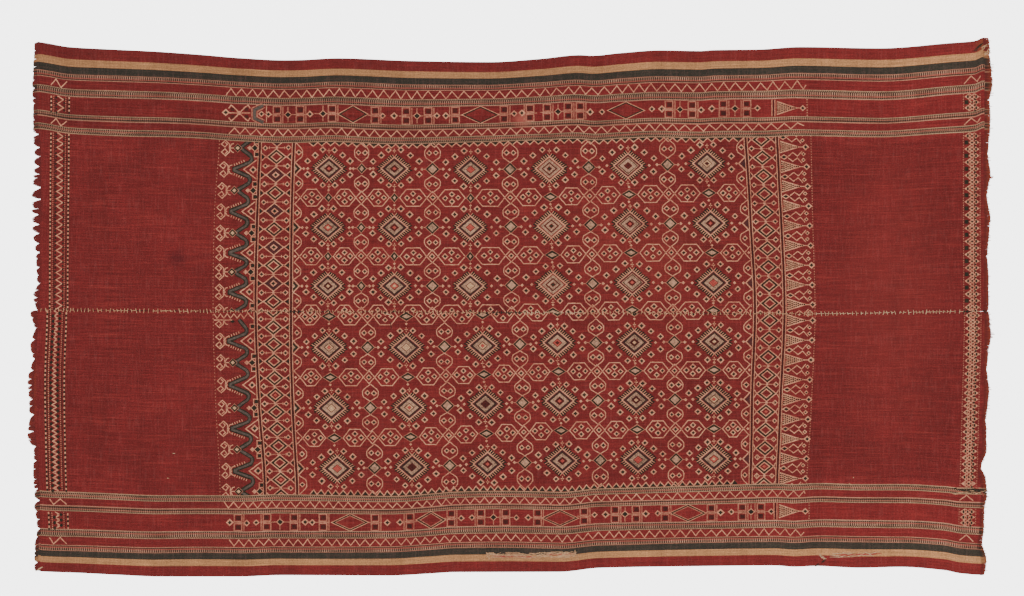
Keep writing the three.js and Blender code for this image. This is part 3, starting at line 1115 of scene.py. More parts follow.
@dataclass
class CentreField:
    """Rows of large toothed diamonds tied by chains of lozenges, on one panel."""

    chart: PanelChart
    rows: Sequence[DiamondRow]
    row_pitch: float = 59.0
    seeds_out: Spot = (0.175, 0.41, 0.645)
    line_inset: float = 2.6
    teeth: int = 9
    wide_gap: float = 70.0

    def weave(self) -> None:
        """Draws the whole field."""
        upper = self.chart.form.upper
        spread = [self.widened(row) for row in self.rows]
        for number, row in enumerate(spread):
            for k in range(1, len(row) - 1):
                style = ODD_DIAMONDS.get(k, DiamondStyle.PLUM_RING) if upper else DiamondStyle.PLUM_RING
                self.large_diamond(*row[k], style, 0.95 if upper and k < 4 else 1.0)
                self.finials(*row[k])
                self.seeds(*row[k - 1:k + 2])
            for k, (left, right) in enumerate(zip(row, row[1:])):
                ways = {0: (1,), len(row) - 2: (-1,)}.get(k, (-1, 1))
                self.medium(left, right, ways)
                self.loops(left, right, ways, number)
        self.chains(spread)

    def widened(self, row: DiamondRow) -> list[Point]:
        """Adds the half units that the field's upright edges cut.

        Args:
            row: a row of large diamonds.

        Returns:
            Their middles, with one more at each end.
        """
        inner = list(zip(row.right, row.down))
        left = 2 * (float(LINE_TWO(row.down[0])) + self.line_inset) - row.right[0]
        right = 2 * (float(LINE_THREE(row.down[-1])) - self.line_inset) - row.right[-1]
        return [(left, row.down[0])] + inner + [(right, row.down[-1])]

    def large_diamond(self, x: float, y: float, style: DiamondStyle, size: float) -> None:
        """A large diamond with a toothed edge.

        Args:
            x, y: its middle, right and down.
            style: how its inside is woven.
            size: how large, where 1 is the usual one.
        """
        chart = self.chart
        tip = (18.5 * size, 15.6 * size)
        base = (15.0 * size, 12.8 * size)
        for sx, sy in CORNERS:
            for k in range(2 * self.teeth):
                dark = k % 2 == 0
                low = (k - (0.2 if dark else -0.2)) / (2 * self.teeth)
                high = (k + (1.2 if dark else 0.8)) / (2 * self.teeth)
                reach = ((1.12 if dark else 0.9) + chart.wobble(0.16)) * min(1.0, 0.7 + 3 * high)
                corners = []
                for share, edge in ((low, 0), (high, 0), (high, 1), (low, 1)):
                    out = edge * reach
                    px = base[0] * (1 - share) + out * (tip[0] - base[0]) * (1 - 0.38 * share)
                    py = base[1] * share + out * (tip[1] - base[1]) * (0.62 + 0.38 * share)
                    corners.append((x + sx * px, y + sy * py))
                chart.patch(INK if dark else CREAM, corners)
        heart = chart.random.choice((ROSE, ROSE, BROWN, LIGHT))
        core = chart.random.choice((BROWN, BROWN, ROSE, LIGHT))
        slope = base[1] / base[0]
        for yarn, outer, inner in style.value:
            outside = outer * size
            inside = inner * size
            chart.ring(yarn or core, x, y, (outside, outside * slope), (inside, inside * slope))
        chart.diamond(DARK if style is DiamondStyle.DARK_HEART else heart, x, y, 2.1, 1.8)
        for side in (-1, 1):
            chart.solid_blob(x + side * 21.2, y + chart.wobble(0.3), 1.7)

    def finials(self, x: float, y: float) -> None:
        """The short barred stems above and below a large diamond.

        Args:
            x, y: its middle, right and down.
        """
        for side in (-1, 1):
            self.chart.stroke(CREAM, ((x - 1.7, y + side * 17.8), (x + 1.7, y + side * 17.8)), 0.95)
            self.chart.dotted(CREAM, ((x, y + side * 15.4), (x, y + side * 19.4)), 0.9, 1.7, 0.7)

    def seeds(self, before: Point, here: Point, after: Point) -> None:
        """The twelve small diamonds around a large one.

        Args:
            before: the middle of the diamond on its left.
            here: its own middle.
            after: the middle of the diamond on its right.
        """
        above, below = (0.63, 0.45, 0.25), (0.56, 0.385, 0.2)
        if not self.chart.form.upper:
            above, below = (0.57, 0.39, 0.2), (0.62, 0.42, 0.215)
        for side, beside in ((-1, before), (1, after)):
            half = abs(beside[0] - here[0]) / 2
            for out, rise, fall in zip(self.seeds_out, above, below):
                x = here[0] + side * out * half
                for part in (-rise, fall):
                    y = here[1] + part * self.row_pitch / 2
                    if float(LINE_TWO(y)) + 5.0 < x < float(LINE_THREE(y)) - 5.0:
                        self.chart.seed_diamond(x, y, 1.08)

    def medium(self, left: Point, right: Point, ways: Sequence[int]) -> None:
        """The plain diamond between two large ones, or its dark half at the field's upright edge.

        Args:
            left, right: the middles of the large ones beside it.
            ways: the sides that it has, -1 for left and 1 for right.
        """
        chart = self.chart
        x, y = between(left, right)
        if len(ways) > 1:
            wide, high = (5.4, 5.8) if abs(right[0] - left[0]) < self.wide_gap else (7.6, 7.3)
            chart.ring(TAN, x, y, (wide, high), (wide - 0.9, high - 0.85))
            chart.ring(DARK, x, y, (wide - 0.9, high - 0.85), (wide - 3.1, high - 3.0))
            heart = chart.random.choice((PALE, PALE, GREY))
            chart.diamond(heart, x, y, wide - 3.1, high - 3.0)
            for side in ways:
                chart.dotted(CREAM, ((x + side * wide, y), (x + side * (wide + 1.8), y)), 0.8, 1.2, 0.8)
                chart.solid_blob(x + side * (wide + 2.9), y, 1.8)
            return
        side = ways[0]
        edge = x - side * 1.0
        dark = ((edge, y - 5.4), (edge + side * 5.6, y), (edge, y + 5.4))
        chart.patch(DARK if side > 0 else PLUM, dark)
        if side > 0:
            chart.patch(PALE, ((edge, y - 2.6), (edge + 2.8, y), (edge, y + 2.6)))
        chart.stroke(CREAM, ((edge, y - 7.2), (edge + side * 6.8, y), (edge, y + 7.2)))
        chart.solid_blob(edge + side * 9.2, y, 1.7)

    def loops(self, left: Point, right: Point, ways: Sequence[int], number: int) -> None:
        """The upright loops above and below a plain diamond, each round two small ones.

        Args:
            left, right: the middles of the large ones beside it.
            ways: the sides that it has, -1 for left and 1 for right.
            number: the row's number, from the top of the panel.
        """
        chart = self.chart
        x, y = between(left, right)
        wide = 7.1 if abs(right[0] - left[0]) < self.wide_gap else 7.8
        profile = ((0.0, 0.0), (0.86, 0.25), (1.0, 0.38), (1.0, 0.6), (0.8, 0.74), (0.0, 1.05))
        at_border = 0 if chart.form.upper else len(self.rows) - 1
        for way in (-1, 1):
            start = y + way * 6.6
            end = y + way * (25.5 if number == at_border and way == -chart.form.side else 23.0)
            for side in ways:
                line = [(x + side * wide * out, start + (end - start) * share) for out, share in profile]
                chart.stroke(CREAM, line, 0.95)
                chart.seed_diamond(x + side * 3.3, start + (end - start) * 0.5, 0.95)

    def chains(self, spread: Sequence[Sequence[Point]]) -> None:
        """The level chains of lozenges between the rows, and the one that the join cuts.

        Args:
            spread: the rows of diamonds, widened to the field's edges.
        """
        for above, below in zip(spread, spread[1:]):
            self.chain([(x, y - 0.4) for x, y in map(between, above, below)])
        row, off = (spread[-1], 27.6) if self.chart.form.upper else (spread[0], -31.0)
        self.chain([(x, y + off) for x, y in row])

    def chain(self, nodes: Sequence[Point]) -> None:
        """One level chain: nodes under the large diamonds, crossings between them.

        Args:
            nodes: the middles of the nodes.
        """
        halves = [4.2 if self.chart.form.upper and k < 4 else 7.6 for k in range(len(nodes))]
        last = len(nodes) - 2
        for k in range(1, len(nodes) - 1):
            self.node(*nodes[k], halves[k])
        for k, (before, after) in enumerate(zip(nodes, nodes[1:])):
            x, y = between(before, after)
            self.crossing(x, y, {0: 1, last: -1}.get(k, 0))
            if k > 0:
                self.lozenge((before[0] + halves[k] + 1, before[1]), (x - 5.6, y))
            if k < last:
                self.lozenge((x + 5.6, y), (after[0] - halves[k + 1] - 1, after[1]))

    def node(self, x: float, y: float, wide: float) -> None:
        """The lozenge under a large diamond.

        Args:
            x, y: its middle, right and down.
            wide: half its width.
        """
        high = 5.0
        inner = wide - 1.5 * (1.1 if wide < high else 1.4)
        self.chart.ring(TAN, x, y, (wide + 0.6, high + 0.4), (wide - 0.3, high - 0.5))
        self.chart.ring(DARK, x, y, (wide - 0.3, high - 0.5), (inner - 1.0, high - 2.8))
        self.chart.diamond(PALE, x, y, inner - 1.0, high - 2.8)
        for side in (-1, 1):
            self.chart.solid_blob(x, y + side * 7.4, 1.5)

    def crossing(self, x: float, y: float, cut: int) -> None:
        """The diamond where a level chain crosses an upright one.

        Args:
            x, y: its middle, right and down.
            cut: 0 for a whole one, 1 or -1 for the half that points right or left.
        """
        if cut:
            self.chart.stroke(CREAM, ((x, y - 6.2), (x + cut * 5.6, y), (x, y + 6.2)), 0.95)
            self.chart.solid_blob(x + cut * 1.2, y, 1.6)
            return
        outline = [(x + dx * 5.8, y + dy * 6.4) for dx, dy in TIPS]
        self.chart.stroke(CREAM, outline, 0.95, closed=True)
        self.chart.seed_diamond(x, y, 0.95)

    def lozenge(self, left: Point, right: Point) -> None:
        """A long lozenge round four small diamonds.

        Args:
            left: its left tip.
            right: its right tip.
        """
        chart = self.chart
        x, y = between(left, right)
        half = (right[0] - left[0]) / 2
        flat = max(half - 6.8, 3.0)
        high = 8.4
        corners = (left, (x - flat, y - high), (x + flat, y - high),
                   right, (x + flat, y + high), (x - flat, y + high))
        chart.stroke(CREAM, corners, 1.0, closed=True)
        reach = min(6.2, half - 5.4)
        for dx, dy in ((-reach, 0), (reach, 0), (0, -3.8), (0, 3.8)):
            chart.seed_diamond(x + dx, y + dy, 0.95)
        if chart.random.random() < 0.4:
            way = 1 if chart.random.random() < 0.6 else -1
            chart.stroke(CREAM, ((x, y + way * 6.6), (x, y + way * high)), 0.8)


@dataclass
class UprightLines:
    """The brown lines with cream sides that part the fields, and the faint dotted ones outside them."""

    chart: PanelChart
    steps: int = 24
    join_row: float = 312.0

    def weave(self) -> None:
        """Draws the lines on this panel."""
        chart = self.chart
        for line in (LINE_ONE, LINE_TWO, LINE_THREE, LINE_FOUR):
            points = self.course(line)
            chart.stroke(BROWN, points, 1.9, step=3.0, wobble=0.1)
            for offset in (-1.55, 1.55):
                chart.stroke(CREAM, points, 0.75, step=3.0, wobble=0.1, offset=offset)
        chart.dotted(TAN, self.course(PATTERN_RIGHT), 0.8, 2.6, 0.5)
        chart.dotted(TAN, self.course(PATTERN_LEFT), 0.7, 3.4, 0.4)

    def course(self, line: Curve) -> list[Point]:
        """The points of an upright line from the border to the join.

        Args:
            line: the line's curve.

        Returns:
            Its points, in chart squares.
        """
        start, end = sorted((120.0 if self.chart.form.upper else 505.0,
                             self.chart.edge(self.chart.join, float(line(self.join_row)))))
        downs = [start + (end - start) * k / self.steps for k in range(self.steps + 1)]
        return [(float(line(down)), down) for down in downs]


@dataclass
class LozengeColumn:
    """An upright column of nested lozenges between two of the lines."""

    chart: PanelChart
    left_line: Curve
    right_line: Curve
    first: float
    pitch: float
    count: int
    alternate: bool

    def weave(self) -> None:
        """Draws the column."""
        chart = self.chart
        for k in range(self.count):
            down = self.first + k * self.pitch
            left = float(self.left_line(down)) + 2.2
            right = float(self.right_line(down)) - 2.2
            middle = (left + right) / 2
            half = (right - left) / 2
            self.lozenge(middle, down, bool(self.alternate and k % 2))
            for side in (-1, 1):
                tip = middle + side * 10.4
                edge = middle + side * half
                for way in (-1, 1):
                    chart.stroke(CREAM, ((tip - side, down - way * 0.8), (edge, down + way * 3.8)), 0.9)
                chart.patch(INK, ((edge, down - 2.4), (tip + side * 1.4, down), (edge, down + 2.4)))
                gap = down + self.pitch / 2
                bar = middle + side * 7.6
                chart.seed_diamond(middle + side * (half - 3.5), gap, 0.92)
                chart.stroke(CREAM, ((bar, gap - 1.3), (bar, gap + 1.3)), 0.7)
            chart.stroke(TAN, ((middle - half + 6.4, gap), (middle + half - 6.4, gap)), 0.8)
            chart.block(CREAM, middle, gap, 1.1, 1.0)

    def lozenge(self, x: float, y: float, filled: bool) -> None:
        """One nested lozenge.

        Args:
            x, y: its middle, right and down.
            filled: whether it is filled with brown round a small diamond.
        """
        chart = self.chart
        wide = 10.4
        high = 8.5
        chart.ring(CREAM, x, y, (wide, high), (wide - 1.6, high - 1.3))
        if filled:
            chart.ring(PLUM, x, y, (wide - 1.6, high - 1.3), (4.0, 3.4))
            chart.ring(CREAM, x, y, (3.9, 3.4), (2.1, 1.8))
            chart.diamond(DARK, x, y, 2.1, 1.8)
        else:
            chart.ring(DARK, x, y, (wide - 1.6, high - 1.3), (wide - 4.3, high - 3.5))
            chart.ring(CREAM, x, y, (wide - 4.3, high - 3.5), (wide - 5.9, high - 4.8))
            if chart.random.random() < 0.12:
                chart.diamond(ROSE, x, y, 2.0, 1.6)


@dataclass
class LeftPattern:
    """Curls and hooks in front of a thick zigzag, at the pattern's left end."""

    chart: PanelChart
    small_peaks: Sequence[float]
    large_peaks: Sequence[float]
    cut_row: float = 320.0

    def weave(self) -> None:
        """Draws the curls, the zigzag and what lies between it and the first line."""
        for down in self.small_peaks:
            if down == self.cut_row:
                self.seam_row(down)
                continue
            self.curls(down, 15.0)
            self.toothed(self.start(down) + 18.6, down)
            self.near_motif(down)
        for down in self.large_peaks:
            self.curls(down, 12.6)
            self.far_motif(down)
        self.zigzag()

    def seam_row(self, y: float) -> None:
        """The row that the seam cuts: a short zigzag, a line and the lower half of the curls.

        Args:
            y: its place down.
        """
        chart = self.chart
        x = self.start(y)
        teeth = [(x + 0.6 + 3.35 * k, y - 1.8 if k % 2 else y - 6.2) for k in range(11)]
        chart.stroke(CREAM, teeth, 1.0)
        self.curls(y, 19.0, (1,))
        chart.stroke(CREAM, ((x + 0.6, y), (x + 9.8, y)), 1.0)
        chart.diamond(DARK, x + 19.4, y + 1.4, 2.6, 1.6)
        chart.stroke(CREAM, ((x + 34.0, y - 7.6), (x + 41.4, y + 0.2)), 1.0)
        self.square(float(LINE_ONE(y)) - 5.0, y, 1)

    @staticmethod
    def start(down: float) -> float:
        """Where the pattern starts, in chart squares right."""
        return float(PATTERN_LEFT(down))

    def curls(self, y: float, stem: float, ways: Sequence[int] = (-1, 1)) -> None:
        """A pair of curls on a stem that ends in a hook.

        Args:
            y: the stem's place down.
            stem: how far the stem reaches.
            ways: -1 for the curl above the stem, 1 for the one below.
        """
        chart = self.chart
        x = self.start(y) + 6.4
        curl = ((4.0, 0.3), (4.1, 3.9), (0.0, 7.7), (-4.1, 4.0), (-0.5, 0.9), (1.9, 3.8), (-0.4, 5.6))
        hook = ((4.2, 0.2), (6.2, 3.9), (8.4, 4.6))
        for way in ways:
            chart.stroke(CREAM, [(x + dx, y + way * dy) for dx, dy in curl], 1.0, step=2.6)
            chart.stroke(CREAM, [(x + dx, y + way * dy) for dx, dy in hook], 1.0)
        chart.stroke(CREAM, ((x + 3.4, y), (x + stem - 6.4, y)), 1.0)

    def toothed(self, x: float, y: float) -> None:
        """A small diamond with a toothed edge."""
        chart = self.chart
        chart.ring(TAN, x, y, (4.7, 4.6), (4.0, 3.9))
        chart.ring(INK, x, y, (4.0, 3.9), (2.2, 2.1))
        chart.diamond(LIGHT, x, y, 2.1, 2.0)

    def zigzag(self) -> None:
        """The thick slate zigzag with dark edges and short cream teeth."""
        chart = self.chart
        upper = chart.form.upper
        large, small = (16.8, 22.4) if upper else (15.2, 21.4)
        peaks = sorted([(down, small) for down in self.small_peaks]
                       + [(down, large) for down in self.large_peaks])
        first = 139.0 if upper else 308.0
        points: list[Point] = [(self.start(first) + 32.2, first)]
        toothed: list[tuple[Point, Point]] = []
        for k, (down, out) in enumerate(peaks):
            after = peaks[k + 1][0] if k + 1 < len(peaks) else down + 20
            turn = (down + after) / 2
            peak = self.start(down) + out
            right = self.start(turn) + 33.2
            if out == large:
                toothed += [((peak, down - 1), points[-1]), ((peak, down + 1), (right, turn - 2.6))]
            points += [(peak, down - 0.8), (peak, down + 0.8), (right - 1.4, turn - 3.4), (right, turn - 1.2),
                       (right, turn + 1.2), (right - 1.4, turn + 3.4)]
        if not upper:
            points[:3] = [(self.start(self.cut_row) + 25.6, self.cut_row - 0.6)]
        chart.stroke(DARK, points, 4.3, step=4.0, wobble=0.1)
        chart.stroke(SLATE, points, 2.0, step=4.0, wobble=0.1)
        for (ax, ay), (bx, by) in toothed:
            length = math.hypot(bx - ax, by - ay)
            pieces = int(length * 0.75 / 2.3)
            nx, ny = -abs(by - ay) / length, (bx - ax) / length * (1 if by > ay else -1)
            for k in range(pieces):
                share = (k + 0.6) * 0.75 / pieces
                px = ax + (bx - ax) * share + nx * 2.4
                py = ay + (by - ay) * share + ny * 2.4
                chart.stroke(CREAM, ((px, py), (px + nx * 2.2, py + ny * 2.2)), 0.85)

    def near_motif(self, down: float) -> None:
        """Small diamonds and squares right of a small peak."""
        chart = self.chart
        x = float(LINE_ONE(down)) - 5.0
        chart.diamond(CREAM, x - 5.2, down, 2.6, 2.4)
        chart.ring(CREAM, x, down, (4.2, 4.1), (3.1, 3.0))
        chart.diamond(INK, x, down, 3.0, 2.9)
        for way in (-1, 1):
            self.square(x, down, way)

    def square(self, x: float, down: float, way: int) -> None:
        """A dark square in a bracket.

        Args:
            x: its place right.
            down: its row's place down.
            way: -1 for above the row, 1 for below.
        """
        y = down + way * 6.4
        self.chart.block(INK, x + 2.0, y, 1.6, 1.6)
        bracket = ((4.0, -2.4), (-0.6, -2.4), (-0.6, 2.4), (4.0, 2.4))
        self.chart.stroke(CREAM, [(x + dx, y + way * dy) for dx, dy in bracket], 0.8)

    def far_motif(self, down: float) -> None:
        """A chevron round a small diamond right of a large peak."""
        line = float(LINE_ONE(down))
        chevron = ((-2.4, -9.6), (-15.3, 0.0), (-2.6, 9.6))
        self.chart.stroke(CREAM, [(line + dx, down + dy) for dx, dy in chevron], 1.1)
        self.chart.seed_diamond(line - 6.2, down, 1.15)


def stippled(chart: PanelChart, base: float, y: float, length: float, high: float) -> None:
    """A long cream triangle that points right, stippled with dark stitches.

    Args:
        chart: the panel's chart.
        base: the place of its base, right.
        y: its middle, down.
        length: how long it is.
        high: half its base.
    """
    chart.patch(CREAM, ((base, y - high), (base + length, y), (base, y + high)))
    for k in range(9):
        x = base + length * (0.044 + k * 0.0995)
        half = high * (1 - (x - base) / length) - 1.0
        rows = max(1, round(half * 2 / 1.9))
        for j in range(rows):
            chart.block(INK, x, y - half + (j + 0.5) * 2 * half / rows, 0.78, 0.6)


@dataclass
class RightPattern:
    """A row of long spear points at the pattern's right end."""

    chart: PanelChart
    spears: Sequence[float]
    ovals: Sequence[float]

    def weave(self) -> None:
        """Draws the spears and the branched figures between them."""
        for down in self.spears:
            self.spear(down)
        for down in self.ovals:
            self.oval(down)

    def spear(self, y: float) -> None:
        """A stippled spear point lying on its side.

        Args:
            y: its middle, down.
        """
        chart = self.chart
        base = float(LINE_FOUR(y)) + 2.6
        length = 20.6
        stippled(chart, base, y, length, 6.4)
        chart.patch(ROSE, ((base - 0.4, y - 1.6), (base + 3.0, y), (base - 0.4, y + 1.6)))
        chart.stroke(CREAM, ((base + length - 1, y), (base + length + 2, y)), 0.9)
        chart.ring(CREAM, base + length + 5.0, y, (3.7, 3.5), (2.0, 1.8))
        chart.diamond(INK, base + length + 5.0, y, 1.9, 1.7)

    def oval(self, y: float) -> None:
        """An oval with two branching zigzags.

        Args:
            y: its middle, down.
        """
        chart = self.chart
        x = float(LINE_FOUR(y)) + 6.0
        chart.ring(CREAM, x, y, (4.4, 2.7), (2.6, 1.5))
        chart.diamond(INK, x, y, 2.5, 1.5)
        branch = ((4.2, 0.8), (8.8, 4.4), (13.4, 0.9), (18.0, 6.0))
        for way in (-1, 1):
            chart.stroke(CREAM, [(x + dx, y + way * dy) for dx, dy in branch], 0.95)
            chart.ring(CREAM, x + 19.4, y + way * 3.0, (2.4, 2.2), (1.1, 1.0))
            chart.diamond(INK, x + 19.4, y + way * 3.0, 1.1, 1.0)


class ZigzagRow(NamedTuple):
    """A zigzag of the border: its first and last turn along, its pitch at both ends and its two levels."""

    start: float
    end: float
    first_pitch: float
    last_pitch: float
    outer: float
    inner: float


class Figure(Enum):
    """The figures of the broad band."""

    STAR = auto()
    SEED = auto()
    LINED_SEED = auto()
    SQUARES = auto()
    SHORT_LOZENGE = auto()
    LONG_LOZENGE = auto()
    BRACKET = auto()
    SPEAR = auto()


# Where each figure stands along the cloth, in chart squares.
UPPER_FIGURES = {
    Figure.STAR: (239.5,),
    Figure.SEED: (225.5, 268, 310, 383, 394, 437, 446, 514, 522, 590, 602, 652, 662, 701, 712, 757.5),
    Figure.LINED_SEED: (288, 323, 417, 558, 680, 735),
    Figure.SQUARES: (277, 300, 332, 375, 406, 428, 455.5, 504, 530, 547, 568, 580, 669, 692, 723, 747),
    Figure.SHORT_LOZENGE: (353,),
    Figure.LONG_LOZENGE: (480.5, 626),
    Figure.BRACKET: (259,),
    Figure.SPEAR: (776,),
}

LOWER_FIGURES = {
    Figure.SEED: (229.8, 247, 256.5, 305, 312, 387, 400, 461, 472, 516.5, 528, 594.5, 605.5, 645.5, 657.5,
                  720.5, 731.5, 771),
    Figure.LINED_SEED: (280, 493.5, 625, 751),
    Figure.SQUARES: (238, 267, 294, 323, 375, 410, 451, 481, 506, 537.5, 584, 615, 636, 665, 711, 742, 761),
    Figure.LONG_LOZENGE: (350, 560, 688),
    Figure.SHORT_LOZENGE: (431,),
    Figure.SPEAR: (778,),
}


@dataclass
class Borders:
    """What is woven on a panel's border stripes: zigzags, the broad band's figures and the saw teeth."""

    chart: PanelChart
    zigzags: Sequence[ZigzagRow]
    figures: dict[Figure, Sequence[float]]
    saw: Spot
    band_middle: float = 115.5

    def weave(self) -> None:
        """Draws all of it."""
        for row in self.zigzags:
            self.zigzag(row)
        drawings = {Figure.SEED: self.seed, Figure.LINED_SEED: self.lined_seed, Figure.SQUARES: self.squares,
                    Figure.SHORT_LOZENGE: lambda x, y: self.lozenge(x, y, 16.0),
                    Figure.LONG_LOZENGE: lambda x, y: self.lozenge(x, y, 19.5), Figure.SPEAR: self.spear,
                    Figure.STAR: self.star, Figure.BRACKET: self.bracket}
        for figure, rights in self.figures.items():
            for right in rights:
                drawings[figure](*self.spot(right, self.band_middle))
        self.saw_teeth()

    def spot(self, right: float, warped: float) -> Point:
        """A place in the border, in chart squares."""
        return self.chart.form.border_spot(right, warped)

    def zigzag(self, row: ZigzagRow) -> None:
        """Lays one zigzag.

        Args:
            row: its measures.
        """
        points = []
        right = row.start
        outer = False
        while right < row.end:
            level = row.outer if outer else row.inner
            points.append(self.spot(right, level + self.chart.wobble(0.9)))
            share = (right - row.start) / (row.end - row.start)
            pitch = row.first_pitch + (row.last_pitch - row.first_pitch) * share
            right += pitch / 2 + self.chart.wobble(0.5)
            outer = not outer
        points.append(self.spot(row.end, (row.outer + row.inner) / 2))
        self.chart.stroke(CREAM, points, 0.98)

    def seed(self, x: float, y: float) -> None:
        """A small diamond."""
        self.chart.seed_diamond(x, y, 1.08)

    def lined_seed(self, x: float, y: float) -> None:
        """A dark diamond on an upright line, with a level line through it."""
        chart = self.chart
        _, top = self.spot(x, 99 if chart.form.upper else 131)
        _, bottom = self.spot(x, 131 if chart.form.upper else 99)
        for a, b in (((x, top), (x, y - 3.6)), ((x, y + 3.6), (x, bottom)),
                     ((x - 8.5, y), (x - 3.8, y)), ((x + 3.8, y), (x + 8.5, y))):
            chart.stroke(TAN, (a, b), 0.85)
        chart.ring(CREAM, x, y, (4.0, 3.7), (2.9, 2.6))
        chart.diamond(INK, x, y, 2.9, 2.6)

    def squares(self, x: float, y: float) -> None:
        """A pair of nested squares above and below the band's middle, with a thin line beside them."""
        chart = self.chart
        side = chart.random.choice((-1, 1))
        for way in (-1, 1):
            cy = y + way * 4.6
            outline = [(x + dx * 3.8, cy + dy * 3.5) for dx, dy in CORNERS]
            chart.stroke(TAN, outline, 1.05, closed=True)
            chart.block(BROWN, x + side * 0.4, cy, 2.3, 2.1)
        chart.stroke(TAN, ((x + side * 5.9, y - 8.2), (x + side * 5.9, y + 8.2)), 0.95)
        chart.stroke(TAN, ((x - 7.0, y), (x + 7.0, y)), 0.9)

    def lozenge(self, x: float, y: float, wide: float) -> None:
        """A long lozenge of three outlines."""
        chart = self.chart
        high = 9.0
        chart.ring(CREAM, x, y, (wide, high), (wide - 1.5, high - 0.75))
        chart.ring(DARK, x, y, (wide - 1.5, high - 0.75), (wide - 4.2, high - 2.0))
        if not chart.form.upper:
            chart.ring(TAN, x, y, (wide - 4.2, high - 2.0), (wide - 5.8, high - 2.8))

    def spear(self, x: float, y: float) -> None:
        """The spear point that closes the band, with a dotted line beyond it."""
        chart = self.chart
        chart.stroke(BROWN, ((x - 2.6, y - 8.2), (x - 2.6, y + 8.2)), 1.3)
        for side in (-4.1, -1.1):
            chart.stroke(CREAM, ((x + side, y - 8.4), (x + side, y + 8.4)), 0.8)
        length = 22.5
        stippled(chart, x + 0.8, y, length - 1.0, 7.2)
        chart.stroke(CREAM, ((x + length - 1.0, y), (x + length + 1.5, y)), 0.9)
        self.seed(x + length + 4.5, y)
        chart.dotted(TAN, ((x + length + 8.6, y - 9), (x + length + 8.6, y + 9)), 1.1, 2.6)

    def star(self, x: float, y: float) -> None:
        """A four-armed star whose arms end in hooks."""
        chart = self.chart
        arm = ((0.0, 0.0), (5.4, 5.6), (8.6, 8.0), (10.8, 4.6))
        for sx in (-1, 1):
            for sy in (-1, 1):
                chart.stroke(CREAM, [(x + sx * dx, y + sy * dy) for dx, dy in arm], 1.15)
                chart.block(BROWN, x + sx * 7.0, y + sy * 3.6, 1.9, 1.6)
            chart.stroke(CREAM, ((x + sx * 1.5, y), (x + sx * 11, y)), 0.9)
        chart.diamond(CREAM, x, y, 2.2, 2.2)

    def bracket(self, x: float, y: float) -> None:
        """A thick dark bracket round a small diamond, closed by a cream line."""
        chart = self.chart
        corners = [(x + dx, y + dy) for dx, dy in ((4.4, -8.6), (-4.4, -4.2), (-4.4, 4.2), (4.4, 8.6))]
        chart.stroke(SLATE, corners, 3.0, step=4.0)
        for offset in (-2.6, 2.6):
            chart.stroke(TAN, corners, 1.1, offset=offset)
        self.seed(x + 2.4, y)
        chart.stroke(CREAM, ((x + 7.4, y - 8.4), (x + 7.4, y + 8.4)), 0.9)

    def saw_teeth(self) -> None:
        """The dark teeth along the border's inner edge, each with a cream outline."""
        chart = self.chart
        start, end, pitch = self.saw
        count = round((end - start) / pitch)
        upper = chart.form.upper
        far, near = (9.2, 1.2) if upper else (10.8, 1.4)
        outline = []
        for k in range(count):
            corners = [self.spot(start + (k + part) * (end - start) / count + chart.wobble(0.3),
                                 WARPED.whole + level) for part, level in ((0, near), (0.5, far), (1, near))]
            chart.patch(DARK, corners)
            outline += corners[:2]
        chart.stroke(CREAM, outline, 1.0)


# How each end band leans, over places down the cloth.
LEANS = {
    "left_upper": Curve([(90, 0.4), (140, 0), (310, -1.3)]),
    "left_lower": Curve([(318, 2.2), (340, 1.2), (380, 0), (480, 1.6), (530, 4.0)]),
    "right_upper": Curve([(90, 0), (200, 0), (310, 0.4)]),
    "right_lower": Curve([(318, 1.0), (400, -1.0), (486, -3.4), (530, -4.6)]),
}


